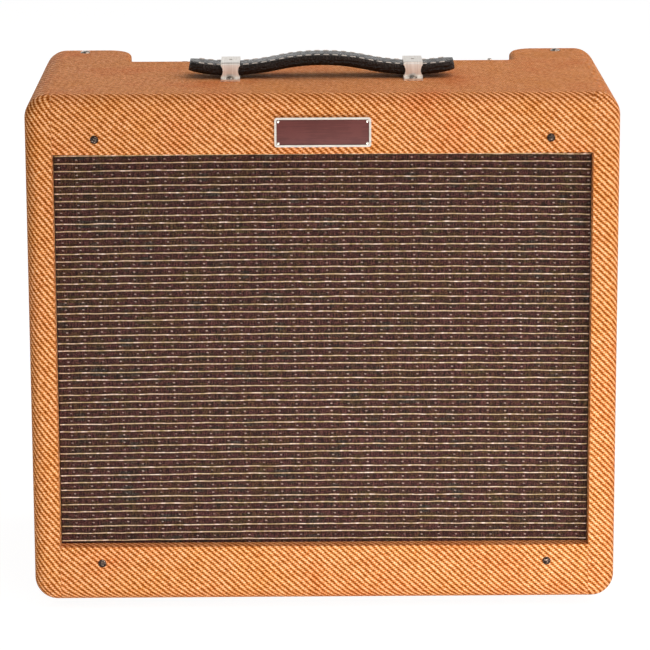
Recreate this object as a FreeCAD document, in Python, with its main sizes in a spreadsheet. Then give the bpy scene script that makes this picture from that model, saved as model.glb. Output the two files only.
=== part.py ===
import FreeCAD, Part
import math
import os
import Sketcher

# A small valve guitar amplifier: a tweed-covered pine cabinet with one 12-inch speaker behind
# a grille cloth, and a steel chassis under the top board. X runs to the right seen from the
# front, Y to the rear and Z up. The origin is on the floor under the middle of the cabinet.

SIZES = {
    # cabinet
    "cabinet_width": 457,
    "cabinet_height": 399.3,
    "cabinet_depth": 240,
    "front_lean": 4,
    "tweed": 1,
    "board": 19,
    "corner_round": 18,
    "front_round": 11,
    "rear_round": 4,
    "finger_count": 10,
    # front
    "rail_thickness": 12,
    "lower_strip": 44.7,
    "upper_strip": 44.2,
    "baffle_thickness": 12,
    "baffle_gap": 1.5,
    "cloth": 1,
    "speaker_hole": 283,
    "baffle_screw_inset": 53.8,
    "baffle_screw_low": 31.7,
    "baffle_screw_drop": 32.5,
    "baffle_screw_head": 2.4,
    "baffle_screw": 1.5,
    "baffle_screw_length": 24,
    "plate_width": 74,
    "plate_height": 22.7,
    "plate_thickness": 2.4,
    "plate_rim": 1.6,
    "plate_recess": 1,
    "plate_drop": 27.4,
    "plate_corner": 2,
    # top
    "cutout_depth": 56,
    "ear_width": 72.5,
    "ear_round": 20,
    "nook_round": 6,
    "handle_length": 208,
    "handle_span": 143.4,
    "handle_width": 27,
    "strap_thickness": 9,
    "strap_rest": 2.5,
    "handle_rise": 7.7,
    "handle_place": -9,
    "clip_width": 15,
    "clip_metal": 1.5,
    "clip_foot": 8,
    "clip_gap": 0.4,
    "clip_screw": 1.9,
    "clip_screw_length": 15,
    "ear_screw_inset": 34,
    "ear_screw_rear": 15,
    "ear_screw_head": 3.1,
    "ear_screw": 2.2,
    "ear_screw_length": 26,
    "screw_play": 0.1,
    # feet and back
    "foot_height": 6.7,
    "foot_radius": 16,
    "foot_side": 45,
    "foot_front": 58,
    "foot_rear": 45,
    "foot_screw": 2.1,
    "panel_screw_head": 3.2,
    "panel_screw": 1.8,
    "panel_screw_length": 19,
    "panel_thickness": 8,
    "panel_gap": 1.5,
    "upper_panel_height": 70,
    "lower_panel_height": 118,
    "cleat": 15,
    # chassis
    "chassis_play": 1.5,
    "chassis_depth": 82,
    "chassis_height": 50,
    "chassis_rear": 4,
    "steel": 1.5,
    "lip": 8,
    "spacer_radius": 3,
    "circuit_thickness": 1.6,
    "panel_plate": 1.5,
    "panel_edge_gap": 2,
    "control_inset": 25,
    "first_control": 8,
    "last_control": 12.3,
    # controls
    "shaft_radius": 3,
    "shaft_play": 0.3,
    "knob_fit": 0.05,
    "bushing_radius": 4.7,
    "bushing_rise": 3.5,
    "hole_play": 0.3,
    "nut_share": 1.5,
    "nut_thickness": 2.4,
    "pot_radius": 12,
    "pot_height": 9,
    "knob_radius": 9.5,
    "knob_skirt": 5,
    "knob_height": 11.3,
    "knob_beak": 14,
    "knob_bar": 3.6,
    "knob_lift": 0.8,
    "knob_point": 1,
    "knob_draft": 4,
    "jack_bore": 3.25,
    "jack_body": 18,
    "jack_depth": 29,
    "button_radius": 4.2,
    "button_travel": 2.5,
    "lamp_radius": 7.5,
    "lamp_wall": 1.5,
    "lamp_rim": 2,
    "lamp_rim_height": 1.6,
    "jewel_play": 0.3,
    "jewel_seat": 6,
    "jewel_rise": 6.2,
    "toggle_length": 16.5,
    "toggle_lean": 12,
    "switch_body": 13,
    "switch_depth": 14,
    "switch_bushing": 5.7,
    "switch_bushing_rise": 2.5,
    "lamp_depth": 17.5,
    "toggle_mouth": 7,
    "toggle_ball": 3.1,
    "toggle_neck": 1.5,
    "toggle_tip": 2.7,
    "toggle_bore": 3.4,
    "rear_jack_place": -60,
    "rear_jack_pitch": 40,
    "inlet_inset": 42,
    "fuse_spacing": 53,
    "fuse_radius": 6.5,
    "fuse_depth": 34,
    "rear_rise": 2.6,
    "inlet_width": 27,
    "inlet_height": 20,
    "inlet_depth": 20,
    "inlet_flange": 2.4,
    "inlet_floor": 4,
    "pin_width": 2,
    "pin_height": 4,
    "pin_recess": 4,
    "pin_spacing": 7,
    # speaker
    "speaker_radius": 154,
    "bolt_circle": 149.8,
    "bolt_shank": 2,
    "bolt_length": 11,
    "basket_steel": 1.6,
    "basket_depth": 82,
    "basket_flange": 8.4,
    "basket_step": 3,
    "basket_landing": 12,
    "basket_shoulder": 11,
    "throat_play": 4.6,
    "window_outer_margin": 6,
    "window_inner_margin": 4,
    "basket_windows": 4,
    "window_angle": 62,
    "spider_seat": 62,
    "pot_radius_of_basket": 67.6,
    "cone_radius": 126,
    "coil_radius": 25.4,
    "coil_gap": 0.4,
    "cone_paper": 1,
    "cap_rise": 11,
    "cap_overlap": 7,
    "coil_reach": 5,
    "surround_gap": 0.3,
    "surround_thickness": 0.8,
    "spider_thickness": 0.8,
    "spider_depth": 1.6,
    "magnet_radius": 68,
    "magnet_thickness": 18,
    "ring_play": 4,
    "iron_radius": 56,
    "iron": 6,
    # valves and iron under the chassis
    "valve_inset": 41,
    "first_valve": 47,
    "valve_clearance": 48.4,
    "valve_radius": 10.6,
    "socket_thickness": 2,
    "socket_flange": 3,
    "valve_foot": 2,
    "valve_tip": 2.4,
    "valve_tip_height": 3,
    "board_rise": 8,
    "transformer_inset": 57,
    "transformer_height": 64,
    "transformer_stack": 16,
    "output_spacing": 74,
    "output_height": 46,
    "output_stack": 12,
    "power_valve_length": 71,
    "preamp_valve_length": 50,
    "tank_length": 235,
    "tank_depth": 111,
    "tank_height": 33,
    "tank_gap": 6,
}

doc = FreeCAD.newDocument("guitar_amplifier")
sheet = doc.addObject("Spreadsheet::Sheet", "dims")
for row, (alias, number) in enumerate(SIZES.items(), start=1):
    sheet.set(f"A{row}", alias)
    sheet.set(f"B{row}", str(number))
    sheet.setAlias(f"B{row}", alias)
doc.recompute()


class Size:
    """A measure: its number, and the spreadsheet expression that gives it."""

    def __init__(self, value, text):
        self.value = value
        self.text = text

    def __add__(self, other):
        other = measure(other)
        return Size(self.value + other.value, f"({self.text} + {other.text})")

    def __sub__(self, other):
        other = measure(other)
        return Size(self.value - other.value, f"({self.text} - {other.text})")

    def __mul__(self, other):
        other = measure(other)
        return Size(self.value * other.value, f"({self.text} * {other.text})")

    def __truediv__(self, other):
        other = measure(other)
        return Size(self.value / other.value, f"({self.text} / {other.text})")

    def __radd__(self, other):
        return measure(other) + self

    def __rsub__(self, other):
        return measure(other) - self

    def __rmul__(self, other):
        return measure(other) * self

    def __neg__(self):
        return Size(-self.value, f"(-{self.text})")


def measure(number):
    """A Size as it is, or a plain number made into one."""
    return number if isinstance(number, Size) else Size(float(number), f"({float(number)})")


def sine(angle):
    return Size(math.sin(math.radians(angle.value)), f"sin({angle.text})")


def cosine(angle):
    return Size(math.cos(math.radians(angle.value)), f"cos({angle.text})")


def root(size):
    return Size(math.sqrt(size.value), f"sqrt({size.text})")


class Dimensions:
    """The spreadsheet's cells, each as a Size of its own name."""


d = Dimensions()
for alias in SIZES:
    setattr(d, alias, Size(float(sheet.get(alias)), f"dims.{alias}"))

# ---------------------------------------------------------------- ways of making things


def placement_text(at, turn=((0, 0, 1), 0)):
    spot = "; ".join(measure(part).text for part in at)
    axis, angle = turn
    line = "; ".join(str(part) for part in axis)
    return f"placement(vector({spot}); rotation(vector({line}); {measure(angle).text}))"


UPRIGHT = ((0, 0, 1), 0)
ALONG_Y = ((1, 0, 0), -90)
DOWNWARD = ((1, 0, 0), 180)
TOWARDS_FRONT = ((1, 0, 0), 90)


def place(piece, at=(0, 0, 0), turn=UPRIGHT, frame=None, shift=0):
    """Bind a piece's placement, in the room or in a named frame, and shifted along its own Z."""
    text = placement_text(at, turn)
    if frame:
        text = f"{frame}.Placement * {text}"
    if shift:
        text = f"{text} * {placement_text((0, 0, shift))}"
    piece.setExpression("Placement", text)
    return piece


def block(name, low, high, frame=None):
    """A box from its low corner to its high corner."""
    box = doc.addObject("Part::Box", name)
    for side, start, end in zip(("Length", "Width", "Height"), low, high):
        box.setExpression(side, (measure(end) - start).text)
    return place(box, low, UPRIGHT, frame)


def rod(name, radius, length, at, turn=UPRIGHT, frame=None):
    """A cylinder that starts at a point."""
    cylinder = doc.addObject("Part::Cylinder", name)
    cylinder.setExpression("Radius", measure(radius).text)
    cylinder.setExpression("Height", measure(length).text)
    return place(cylinder, at, turn, frame)


def cut(name, base, *tools):
    """What is left of a piece when the tools are taken away, one after the other."""
    for tool in tools:
        result = doc.addObject("Part::Cut", name)
        result.Base = base
        result.Tool = tool
        base = result
    return base


def shared(name, base, tool):
    """What two shapes have in common."""
    result = doc.addObject("Part::Common", name)
    result.Base = base
    result.Tool = tool
    return result


def fused(name, *pieces):
    joined = doc.addObject("Part::MultiFuse", name)
    joined.Shapes = list(pieces)
    joined.Refine = True
    return joined


def group(name, pieces):
    """Separate solids that share one node."""
    together = doc.addObject("Part::Compound", name)
    together.Links = pieces
    return together


def bind(sketch, constraint, size):
    index = sketch.addConstraint(constraint)
    sketch.setExpression(f"Constraints[{index}]", size.text)


def curve_between(start, end, radius):
    """A line, or an arc that turns left (radius above 0) or right (below 0)."""
    first = FreeCAD.Vector(start[0].value, start[1].value, 0)
    last = FreeCAD.Vector(end[0].value, end[1].value, 0)
    if radius is None:
        return Part.LineSegment(first, last), (1, 2)
    if radius.value < 0:
        first, last = last, first
    chord = last - first
    left = FreeCAD.Vector(-chord.y, chord.x, 0).normalize()
    away = math.sqrt(max(radius.value**2 - (chord.Length / 2) ** 2, 0.0))
    centre = (first + last) / 2 + left * away
    angles = [math.atan2(point.y - centre.y, point.x - centre.x) for point in (first, last)]
    circle = Part.Circle(centre, FreeCAD.Vector(0, 0, 1), abs(radius.value))
    return Part.ArcOfCircle(circle, *angles), (1, 2) if radius.value > 0 else (2, 1)


def draw(sketch, points):
    """A closed outline through (across, up) or (across, up, radius of the arc that follows)."""
    corners = [(measure(point[0]), measure(point[1])) for point in points]
    radii = [measure(point[2]) if len(point) > 2 else None for point in points]
    ends = []
    for number, corner in enumerate(corners):
        following = corners[(number + 1) % len(corners)]
        curve, order = curve_between(corner, following, radii[number])
        sketch.addGeometry(curve, False)
        ends.append(order)
    for number, corner in enumerate(corners):
        after = (number + 1) % len(corners)
        joint = (number, ends[number][1], after, ends[after][0])
        sketch.addConstraint(Sketcher.Constraint("Coincident", *joint))
        for kind, size in zip(("DistanceX", "DistanceY"), corner):
            point = (-1, 1, number, ends[number][0])
            bind(sketch, Sketcher.Constraint(kind, *point, size.value), size)
        if radii[number] is not None:
            size = radii[number] if radii[number].value > 0 else -radii[number]
            bind(sketch, Sketcher.Constraint("Radius", number, size.value), size)


def sketch_in(body, plane, points, height=0, lean=0, foot=0):
    """A sketch on one of the body's own planes, moved along its normal and leant back."""
    sketch = body.newObject("Sketcher::SketchObject", f"{body.Name}_sketch")
    origin = body.Origin.OriginFeatures
    sketch.AttachmentSupport = [(next(o for o in origin if o.Role == f"{plane}_Plane"), "")]
    sketch.MapMode = "FlatFace"
    offset = placement_text((0, foot, height), ((1, 0, 0), lean))
    sketch.setExpression("AttachmentOffset", offset)
    draw(sketch, points)
    return sketch


def extruded(name, plane, points, low, high):
    """A body padded from an outline, from low to high along the plane's axis."""
    body = doc.addObject("PartDesign::Body", name)
    away = -measure(high) if plane == "XZ" else measure(low)
    sketch = sketch_in(body, plane, points, away)
    pad = body.newObject("PartDesign::Pad", f"{name}_pad")
    pad.Profile = sketch
    pad.setExpression("Length", (measure(high) - low).text)
    return body


def turned(name, points, at=(0, 0, 0), turn=UPRIGHT, frame=None):
    """A body revolved about its own Z from an outline of (radius, height) points."""
    body = doc.addObject("PartDesign::Body", name)
    sketch = sketch_in(body, "XZ", points)
    revolution = body.newObject("PartDesign::Revolution", f"{name}_revolution")
    revolution.Profile = sketch
    revolution.ReferenceAxis = (sketch, ["V_Axis"])
    revolution.Angle = 360
    return place(body, at, turn, frame)


def pocket(body, plane, points, depth, height=0, lean=0, foot=0):
    """Cut an outline into a body, against the sketch's normal."""
    sketch = sketch_in(body, plane, points, height, lean, foot)
    hollow = body.newObject("PartDesign::Pocket", f"{body.Name}_pocket")
    hollow.Profile = sketch
    hollow.setExpression("Length", measure(depth).text)
    return hollow


def round_edges(body, radius, chosen):
    """Fillet the edges of the body that the test picks."""
    doc.recompute()
    tip = body.Tip
    names = [f"Edge{i}" for i, edge in enumerate(tip.Shape.Edges, start=1) if chosen(edge)]
    fillet = body.newObject("PartDesign::Fillet", f"{body.Name}_fillet")
    fillet.Base = (tip, names)
    fillet.setExpression("Radius", measure(radius).text)
    return fillet


def runs_along(edge, axis):
    """True for an edge that is parallel to a main axis."""
    box = edge.BoundBox
    spans = {"x": box.XLength, "y": box.YLength, "z": box.ZLength}
    return all(span < 1e-6 for name, span in spans.items() if name != axis)


def rectangle(half_width, low, high):
    """The corners of an upright rectangle that is centred left to right."""
    return [(-half_width, low), (half_width, low), (half_width, high), (-half_width, high)]


def rounded_rectangle(half_width, half_height, radius, across=0, up=0):
    """A rectangle with quarter-round corners about a middle point."""
    left, right = across - half_width, across + half_width
    low, high = up - half_height, up + half_height
    return [
        (left + radius, low),
        (right - radius, low, radius),
        (right, low + radius),
        (right, high - radius, radius),
        (right - radius, high),
        (left + radius, high, radius),
        (left, high - radius),
        (left, low + radius, radius),
    ]


parts = {}


def keep(piece, node):
    """Name a finished piece; its label names its file."""
    piece.Label = node
    parts[node] = piece
    return piece


# ---------------------------------------------------------------- the cabinet's own lines

half_width = d.cabinet_width / 2
half_depth = d.cabinet_depth / 2
cabinet_bottom = d.foot_height
cabinet_top = d.foot_height + d.cabinet_height
wall = d.tweed + d.board
inner_half = half_width - wall
inner_bottom = cabinet_bottom + wall
inner_top = cabinet_top - wall
rail_back = d.tweed + d.rail_thickness
slope = sine(d.front_lean) / cosine(d.front_lean)
opening_low = d.lower_strip
opening_high = d.cabinet_height - d.upper_strip

# The cut-out in the top opens to the rear.
cutout_front = half_depth - d.cutout_depth
cutout_half = half_width - d.ear_width


# The front frame lies in the cabinet's leaning front: X across, Z up the slope, Y inwards.
front_frame = doc.addObject("App::LocalCoordinateSystem", "front_frame")
place(front_frame, (0, -half_depth, cabinet_bottom), ((1, 0, 0), -d.front_lean))


def faces_rear(edge, inner, rear, top):
    """True for an edge in the rear plane, or in the top plane round the cut-out."""
    box = edge.BoundBox
    in_rear = abs(box.YMin - rear) < 1e-6
    in_top = abs(box.ZMin - top) < 1e-6 and box.ZLength < 1e-6
    return in_rear or (in_top and box.YMin > inner - 1e-6)


def cabinet_form(name, inset):
    """The whole cabinet as one block, drawn inwards by the covering where it is the wood."""
    low, high = cabinet_bottom + inset, cabinet_top - inset
    front = inset / cosine(d.front_lean) - half_depth
    side = [
        (front + inset * slope, low),
        (half_depth - inset, low),
        (half_depth - inset, high),
        (front + (d.cabinet_height - inset) * slope, high),
    ]
    body = extruded(name, "YZ", side, inset - half_width, half_width - inset)
    round_edges(body, d.corner_round - inset, lambda edge: runs_along(edge, "y"))
    round_edges(body, d.front_round - inset, lambda edge: on_front(edge, front.value))
    opening = rectangle(inner_half - d.tweed + inset, opening_low - inset, opening_high + inset)
    pocket(body, "XZ", opening, rail_back, half_depth, -d.front_lean, cabinet_bottom)
    inner, rear = (cutout_front - inset).value, (half_depth - inset).value
    end = (cutout_half + inset).value
    cutout = rectangle(cutout_half + inset, cutout_front - inset, half_depth + wall)
    pocket(body, "XY", cutout, wall, cabinet_top)
    round_edges(body, d.nook_round + inset, lambda edge: upright_at(edge, end, inner))
    round_edges(body, d.ear_round - inset, lambda edge: upright_at(edge, end, rear))
    top = (cabinet_top - inset).value
    round_edges(body, d.rear_round - inset, lambda edge: faces_rear(edge, inner, rear, top))
    return body


def on_front(edge, front):
    """True for an edge that lies in the leaning front plane."""
    rise = math.tan(math.radians(d.front_lean.value))
    offsets = []
    for point in (edge.valueAt(edge.FirstParameter), edge.valueAt(edge.LastParameter)):
        plane_y = front + (point.z - cabinet_bottom.value) * rise
        offsets.append(abs(point.y - plane_y))
    return max(offsets) < 1e-4


def upright_at(edge, side, depth):
    """True for an upright edge at one distance from the middle and one depth."""
    box = edge.BoundBox
    return (
        runs_along(edge, "z")
        and abs(abs(box.XMin) - side) < 1e-6
        and abs(box.YMin - depth) < 1e-6
    )


outside = cabinet_form("outside_form", measure(0))
wood = cabinet_form("wood_form", d.tweed)

# ---------------------------------------------------------------- screws


def oval_screw(name, head, shank, length, at, turn, frame=None):
    """An oval-head screw whose Z points into the work, and the cup washer under its head."""
    lift = head - shank
    dome = head / 4
    swell = (head * head + dome * dome) / (dome * 2)
    screw_lines = [
        (0, -lift - dome, swell),
        (head, -lift),
        (shank, 0),
        (shank, length - shank),
        (0, length),
    ]
    cup_lines = [
        (shank + d.screw_play, 0),
        (head + d.screw_play, -lift),
        (head + d.screw_play * 6, -lift),
        (head + lift, 0),
    ]
    screw = turned(name, screw_lines, at, turn, frame)
    cup = turned(f"{name}_cup", cup_lines, at, turn, frame)
    return [screw, cup]


def pan_screw(name, head, height, shank, length, at, turn, frame=None):
    """A round-topped screw whose Z points into the work and whose head stands on zero."""
    lines = [
        (0, -height),
        (head * 0.7, -height),
        (head, -height * 0.4),
        (head, 0),
        (shank, 0),
        (shank, length - shank),
        (0, length),
    ]
    return turned(name, lines, at, turn, frame)


def screw_holes(name, shank, depth, spots, turn, frame=None):
    """The holes that a set of screws needs, as one set of cutting rods that start outside."""
    rods = []
    for number, spot in enumerate(spots):
        bore = rod(f"{name}_{number}", shank + d.screw_play, depth + wall, (0, 0, 0))
        rods.append(place(bore, spot, turn, frame, -wall))
    return group(name, rods)


baffle_spots = [
    (side * (half_width - d.baffle_screw_inset), 0, height)
    for height in (d.baffle_screw_low, d.cabinet_height - d.baffle_screw_drop)
    for side in (-1, 1)
]
baffle_holes = screw_holes(
    "baffle_holes", d.baffle_screw, d.baffle_screw_length, baffle_spots, ALONG_Y, "front_frame"
)
handle_foot = d.handle_width / 2 + d.clip_gap + d.clip_metal + d.clip_foot / 2
handle_spots = [
    (side * d.handle_span / 2, d.handle_place + edge * handle_foot, cabinet_top)
    for side in (-1, 1)
    for edge in (-1, 1)
]
handle_holes = screw_holes("handle_holes", d.clip_screw, d.clip_screw_length, handle_spots, DOWNWARD)
ear_spots = [
    (side * (half_width - d.ear_screw_inset), half_depth - d.ear_screw_rear, cabinet_top)
    for side in (-1, 1)
]
ear_holes = screw_holes("ear_holes", d.ear_screw, d.ear_screw_length, ear_spots, DOWNWARD)
foot_spots = [
    (side * (half_width - d.foot_side), depth, cabinet_bottom)
    for side in (-1, 1)
    for depth in (d.foot_front - half_depth, half_depth - d.foot_rear)
]
foot_holes = screw_holes("foot_holes", d.foot_screw, wall, foot_spots, UPRIGHT)

# ---------------------------------------------------------------- pine boards

finger = d.cabinet_depth / d.finger_count


def finger_comb(name, first, across, band):
    """Every second finger of a corner joint, from the front or from one finger behind it."""
    start = first * finger - half_depth
    outline = [
        (start, band[0]),
        (start + finger, band[0]),
        (start + finger, band[1]),
        (start, band[1]),
    ]
    comb = extruded(name, "YZ", outline, across[0], across[1])
    pattern = comb.newObject("PartDesign::LinearPattern", f"{name}_pattern")
    pattern.Originals = [comb.Tip]
    origin = comb.Origin.OriginFeatures
    pattern.Direction = (next(o for o in origin if o.Role == "Y_Axis"), [""])
    pattern.setExpression("Length", (finger * (d.finger_count - 2)).text)
    pattern.setExpression("Occurrences", (d.finger_count / 2).text)
    comb.Tip = pattern
    return comb


whole_width = (-half_width, half_width)
whole_height = (cabinet_bottom, cabinet_top)
upper_comb = finger_comb("upper_comb", 1, whole_width, (inner_top, cabinet_top))
lower_comb = finger_comb("lower_comb", 1, whole_width, (cabinet_bottom, inner_bottom))
left_comb = finger_comb("left_comb", 0, (-half_width, -inner_half), whole_height)
right_comb = finger_comb("right_comb", 0, (inner_half, half_width), whole_height)

for node, start, end in (
    ("side_board_left", -half_width, -inner_half),
    ("side_board_right", inner_half, half_width),
):
    slab = block(
        f"{node}_slab", (start, -half_depth, cabinet_bottom), (end, half_depth, cabinet_top)
    )
    board = shared(f"{node}_blank", wood, slab)
    keep(cut(f"{node}_fingers", board, upper_comb, lower_comb), node)

for node, start, end, holes in (
    ("top_board", inner_top, cabinet_top, (handle_holes, ear_holes)),
    ("bottom_board", cabinet_bottom, inner_bottom, (foot_holes,)),
):
    slab = block(f"{node}_slab", (-half_width, -half_depth, start), (half_width, half_depth, end))
    board = shared(f"{node}_blank", wood, slab)
    keep(cut(f"{node}_fingers", board, left_comb, right_comb, *holes), node)

opening_middle = (opening_low + opening_high) / 2
top_zone = block(
    "top_zone", (-half_width, -half_depth, inner_top), (half_width, half_depth, cabinet_top)
)
bottom_zone = block(
    "bottom_zone", (-half_width, -half_depth, cabinet_bottom), (half_width, 0, inner_bottom)
)
for node, start, end, zone in (
    ("front_rail_upper", opening_middle, measure(d.cabinet_height), top_zone),
    ("front_rail_lower", measure(0), opening_middle, bottom_zone),
):
    slab = block(f"{node}_slab", (-inner_half, 0, start), (inner_half, rail_back, end), "front_frame")
    rail = shared(f"{node}_blank", wood, slab)
    keep(cut(f"{node}_bored", rail, zone, baffle_holes), node)

# ---------------------------------------------------------------- tweed covering
# One skin glued over the boards: it turns round every edge, lines the front opening and the
# cut-out, and ends at the inside of the rear edges.

rear_window = block(
    "rear_window",
    (-inner_half, half_depth - d.board, inner_bottom),
    (inner_half, half_depth + d.board, inner_top),
)
skin = cut("tweed_skin", outside, wood, rear_window)
keep(
    cut("tweed_bored", skin, baffle_holes, handle_holes, ear_holes, foot_holes), "tweed_covering"
)

# ---------------------------------------------------------------- baffle and grille cloth

cloth_front = rail_back
baffle_front = cloth_front + d.cloth
baffle_back = baffle_front + d.baffle_thickness
lean_cos = cosine(d.front_lean)
lean_sin = sine(d.front_lean)
cloth_low = (wall + d.baffle_gap + baffle_back * lean_sin) / lean_cos
cloth_high = (d.cabinet_height - wall - d.baffle_gap + cloth_front * lean_sin) / lean_cos
cloth_half = inner_half - d.baffle_gap / 2
baffle_half = cloth_half - d.cloth
baffle_low = cloth_low + d.cloth
baffle_high = cloth_high - d.cloth

cloth_block = block(
    "cloth_block",
    (-cloth_half, cloth_front, cloth_low),
    (cloth_half, baffle_back, cloth_high),
    "front_frame",
)
baffle_room = block(
    "baffle_room",
    (-baffle_half, baffle_front, baffle_low),
    (baffle_half, baffle_back + d.cloth, baffle_high),
    "front_frame",
)
keep(cut("cloth_wrap", cloth_block, baffle_room, baffle_holes), "grille_cloth")

baffle_blank = block(
    "baffle_blank",
    (-baffle_half, baffle_front, baffle_low),
    (baffle_half, baffle_back, baffle_high),
    "front_frame",
)
speaker_opening = rod(
    "speaker_opening",
    d.speaker_hole / 2,
    baffle_back,
    (0, 0, opening_middle),
    ALONG_Y,
    "front_frame",
)
speaker_bolts = [
    (
        d.bolt_circle * math.cos(math.radians(45 * number + 22.5)),
        d.bolt_circle * math.sin(math.radians(45 * number + 22.5)),
    )
    for number in range(8)
]
bolt_spots = [(across, baffle_back, opening_middle + up) for across, up in speaker_bolts]
bolt_holes = screw_holes(
    "bolt_holes", d.bolt_shank, d.bolt_length, bolt_spots, TOWARDS_FRONT, "front_frame"
)
keep(
    cut("baffle_bored", baffle_blank, speaker_opening, baffle_holes, bolt_holes), "baffle_board"
)

screws = []
for number, spot in enumerate(baffle_spots):
    name = f"baffle_screw_{number}"
    measures = (d.baffle_screw_head, d.baffle_screw, d.baffle_screw_length)
    screws += oval_screw(name, *measures, spot, ALONG_Y, "front_frame")
keep(group("baffle_screw_set", screws), "baffle_screws")

# ---------------------------------------------------------------- nameplate

plate_middle = d.cabinet_height - d.plate_drop
plate_lines = rounded_rectangle(
    d.plate_width / 2, d.plate_height / 2, d.plate_corner, 0, plate_middle
)
plate = extruded("nameplate_body", "XZ", plate_lines, -d.plate_thickness, 0)
field = rounded_rectangle(
    d.plate_width / 2 - d.plate_rim,
    d.plate_height / 2 - d.plate_rim,
    d.plate_corner / 2,
    0,
    plate_middle,
)
pocket(plate, "XZ", field, d.plate_recess, d.plate_thickness)
keep(place(plate, frame="front_frame"), "nameplate")

# ---------------------------------------------------------------- handle

half_strap = d.strap_thickness / 2
half_span = d.handle_span / 2
bend = (half_span * half_span + d.handle_rise * d.handle_rise) / (d.handle_rise * 4)
strap_middle = cabinet_top + d.strap_rest + half_strap
end_sine = (d.handle_length / 2 - half_span) / bend
end_cosine = root(1 - end_sine * end_sine)
turn_sine = half_span / 2 / bend
turn_cosine = (bend - d.handle_rise / 2) / bend


def strap_point(side, radius, across, up):
    """A point on one of the two lower bends, seen from the bend's centre above the clip."""
    return (side * (half_span - radius * across), strap_middle + bend - radius * up)


outer_bend = bend + half_strap
inner_bend = bend - half_strap
strap_lines = [
    strap_point(-1, outer_bend, -end_sine, end_cosine) + (outer_bend,),
    strap_point(-1, outer_bend, turn_sine, turn_cosine) + (-inner_bend,),
    strap_point(1, outer_bend, turn_sine, turn_cosine) + (outer_bend,),
    strap_point(1, outer_bend, -end_sine, end_cosine),
    strap_point(1, inner_bend, -end_sine, end_cosine) + (-inner_bend,),
    strap_point(1, inner_bend, turn_sine, turn_cosine) + (outer_bend,),
    strap_point(-1, inner_bend, turn_sine, turn_cosine) + (-inner_bend,),
    strap_point(-1, inner_bend, -end_sine, end_cosine),
]
strap_edge = d.handle_width / 2
strap = extruded(
    "strap_body", "XZ", strap_lines, d.handle_place - strap_edge, d.handle_place + strap_edge
)


def at_strap_end(edge):
    """True for the four short edges through the strap's thickness at its ends."""
    box = edge.BoundBox
    return abs(edge.Length - d.strap_thickness.value) < 0.01 and box.YLength < 1e-6


round_edges(strap, 7, at_strap_end)


def on_strap_side(edge):
    """True for the long edges of the strap's two sides."""
    box = edge.BoundBox
    offset = abs(box.YMin - d.handle_place.value) - strap_edge.value
    return box.YLength < 1e-6 and abs(offset) < 1e-6


round_edges(strap, d.strap_thickness * 0.3, on_strap_side)
keep(strap, "handle_strap")

clip_inside = d.handle_width / 2 + d.clip_gap
clip_outside = clip_inside + d.clip_metal
clip_end = clip_outside + d.clip_foot
clip_ceiling = d.strap_rest + d.strap_thickness + d.clip_gap
clip_top = clip_ceiling + d.clip_metal
clip_lines = [
    (-clip_end, 0),
    (-clip_inside, 0),
    (-clip_inside, clip_ceiling),
    (clip_inside, clip_ceiling),
    (clip_inside, 0),
    (clip_end, 0),
    (clip_end, d.clip_metal),
    (clip_outside, d.clip_metal),
    (clip_outside, clip_top),
    (-clip_outside, clip_top),
    (-clip_outside, d.clip_metal),
    (-clip_end, d.clip_metal),
]
clips = []
for number, side in enumerate((-1, 1)):
    name = f"clip_{number}"
    clip = extruded(f"{name}_body", "YZ", clip_lines, -d.clip_width / 2, d.clip_width / 2)
    bends = (clip_outside.value, clip_top.value)
    round_edges(
        clip,
        d.clip_metal,
        lambda edge: runs_along(edge, "x")
        and abs(abs(edge.BoundBox.YMin) - bends[0]) < 1e-6
        and abs(edge.BoundBox.ZMin - bends[1]) < 1e-6,
    )
    waist = clip_top / 2
    tools = [
        rod(
            f"{name}_waist_{edge}",
            waist,
            clip_end * 2,
            (edge * (d.clip_width / 2 + waist - d.clip_metal), -clip_end, waist),
            ALONG_Y,
        )
        for edge in (-1, 1)
    ]
    tools.append(rod(f"{name}_eye", d.clip_metal, clip_top, (0, 0, d.clip_metal)))
    for edge in (-1, 1):
        spot = (0, edge * handle_foot, -d.clip_metal)
        tools.append(
            rod(f"{name}_bore_{edge}", d.clip_screw + d.screw_play, d.clip_metal * 3, spot)
        )
    shaped = cut(f"{name}_cut", clip, *tools)
    clips.append(place(shaped, (side * half_span, d.handle_place, cabinet_top)))
keep(group("clip_pair", clips), "handle_clips")

screws = []
for number, spot in enumerate(handle_spots):
    on_foot = (spot[0], spot[1], spot[2] + d.clip_metal)
    measures = (d.clip_screw * 1.7, d.clip_screw, d.clip_screw, d.clip_screw_length)
    screws.append(pan_screw(f"handle_screw_{number}", *measures, on_foot, DOWNWARD))
keep(group("handle_screw_set", screws), "handle_screws")

# ---------------------------------------------------------------- feet and back

feet = []
screws = []
for number, spot in enumerate(foot_spots):
    head = d.foot_radius * 0.34
    lines = [
        (head, 0),
        (d.foot_radius - 2, 0),
        (d.foot_radius, 2),
        (d.foot_radius, d.foot_height),
        (d.foot_screw + d.screw_play, d.foot_height),
        (d.foot_screw + d.screw_play, d.foot_height * 0.5),
        (head, d.foot_height * 0.5),
    ]
    feet.append(turned(f"foot_{number}", lines, (spot[0], spot[1], 0)))
    screws.append(
        pan_screw(
            f"foot_screw_{number}",
            head - 0.5,
            d.foot_height * 0.3,
            d.foot_screw,
            d.foot_height * 0.5 + wall - 2,
            (spot[0], spot[1], d.foot_height * 0.5),
            UPRIGHT,
        )
    )
keep(group("foot_set", feet), "rubber_feet")
keep(group("foot_screw_set", screws), "foot_screws")

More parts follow.
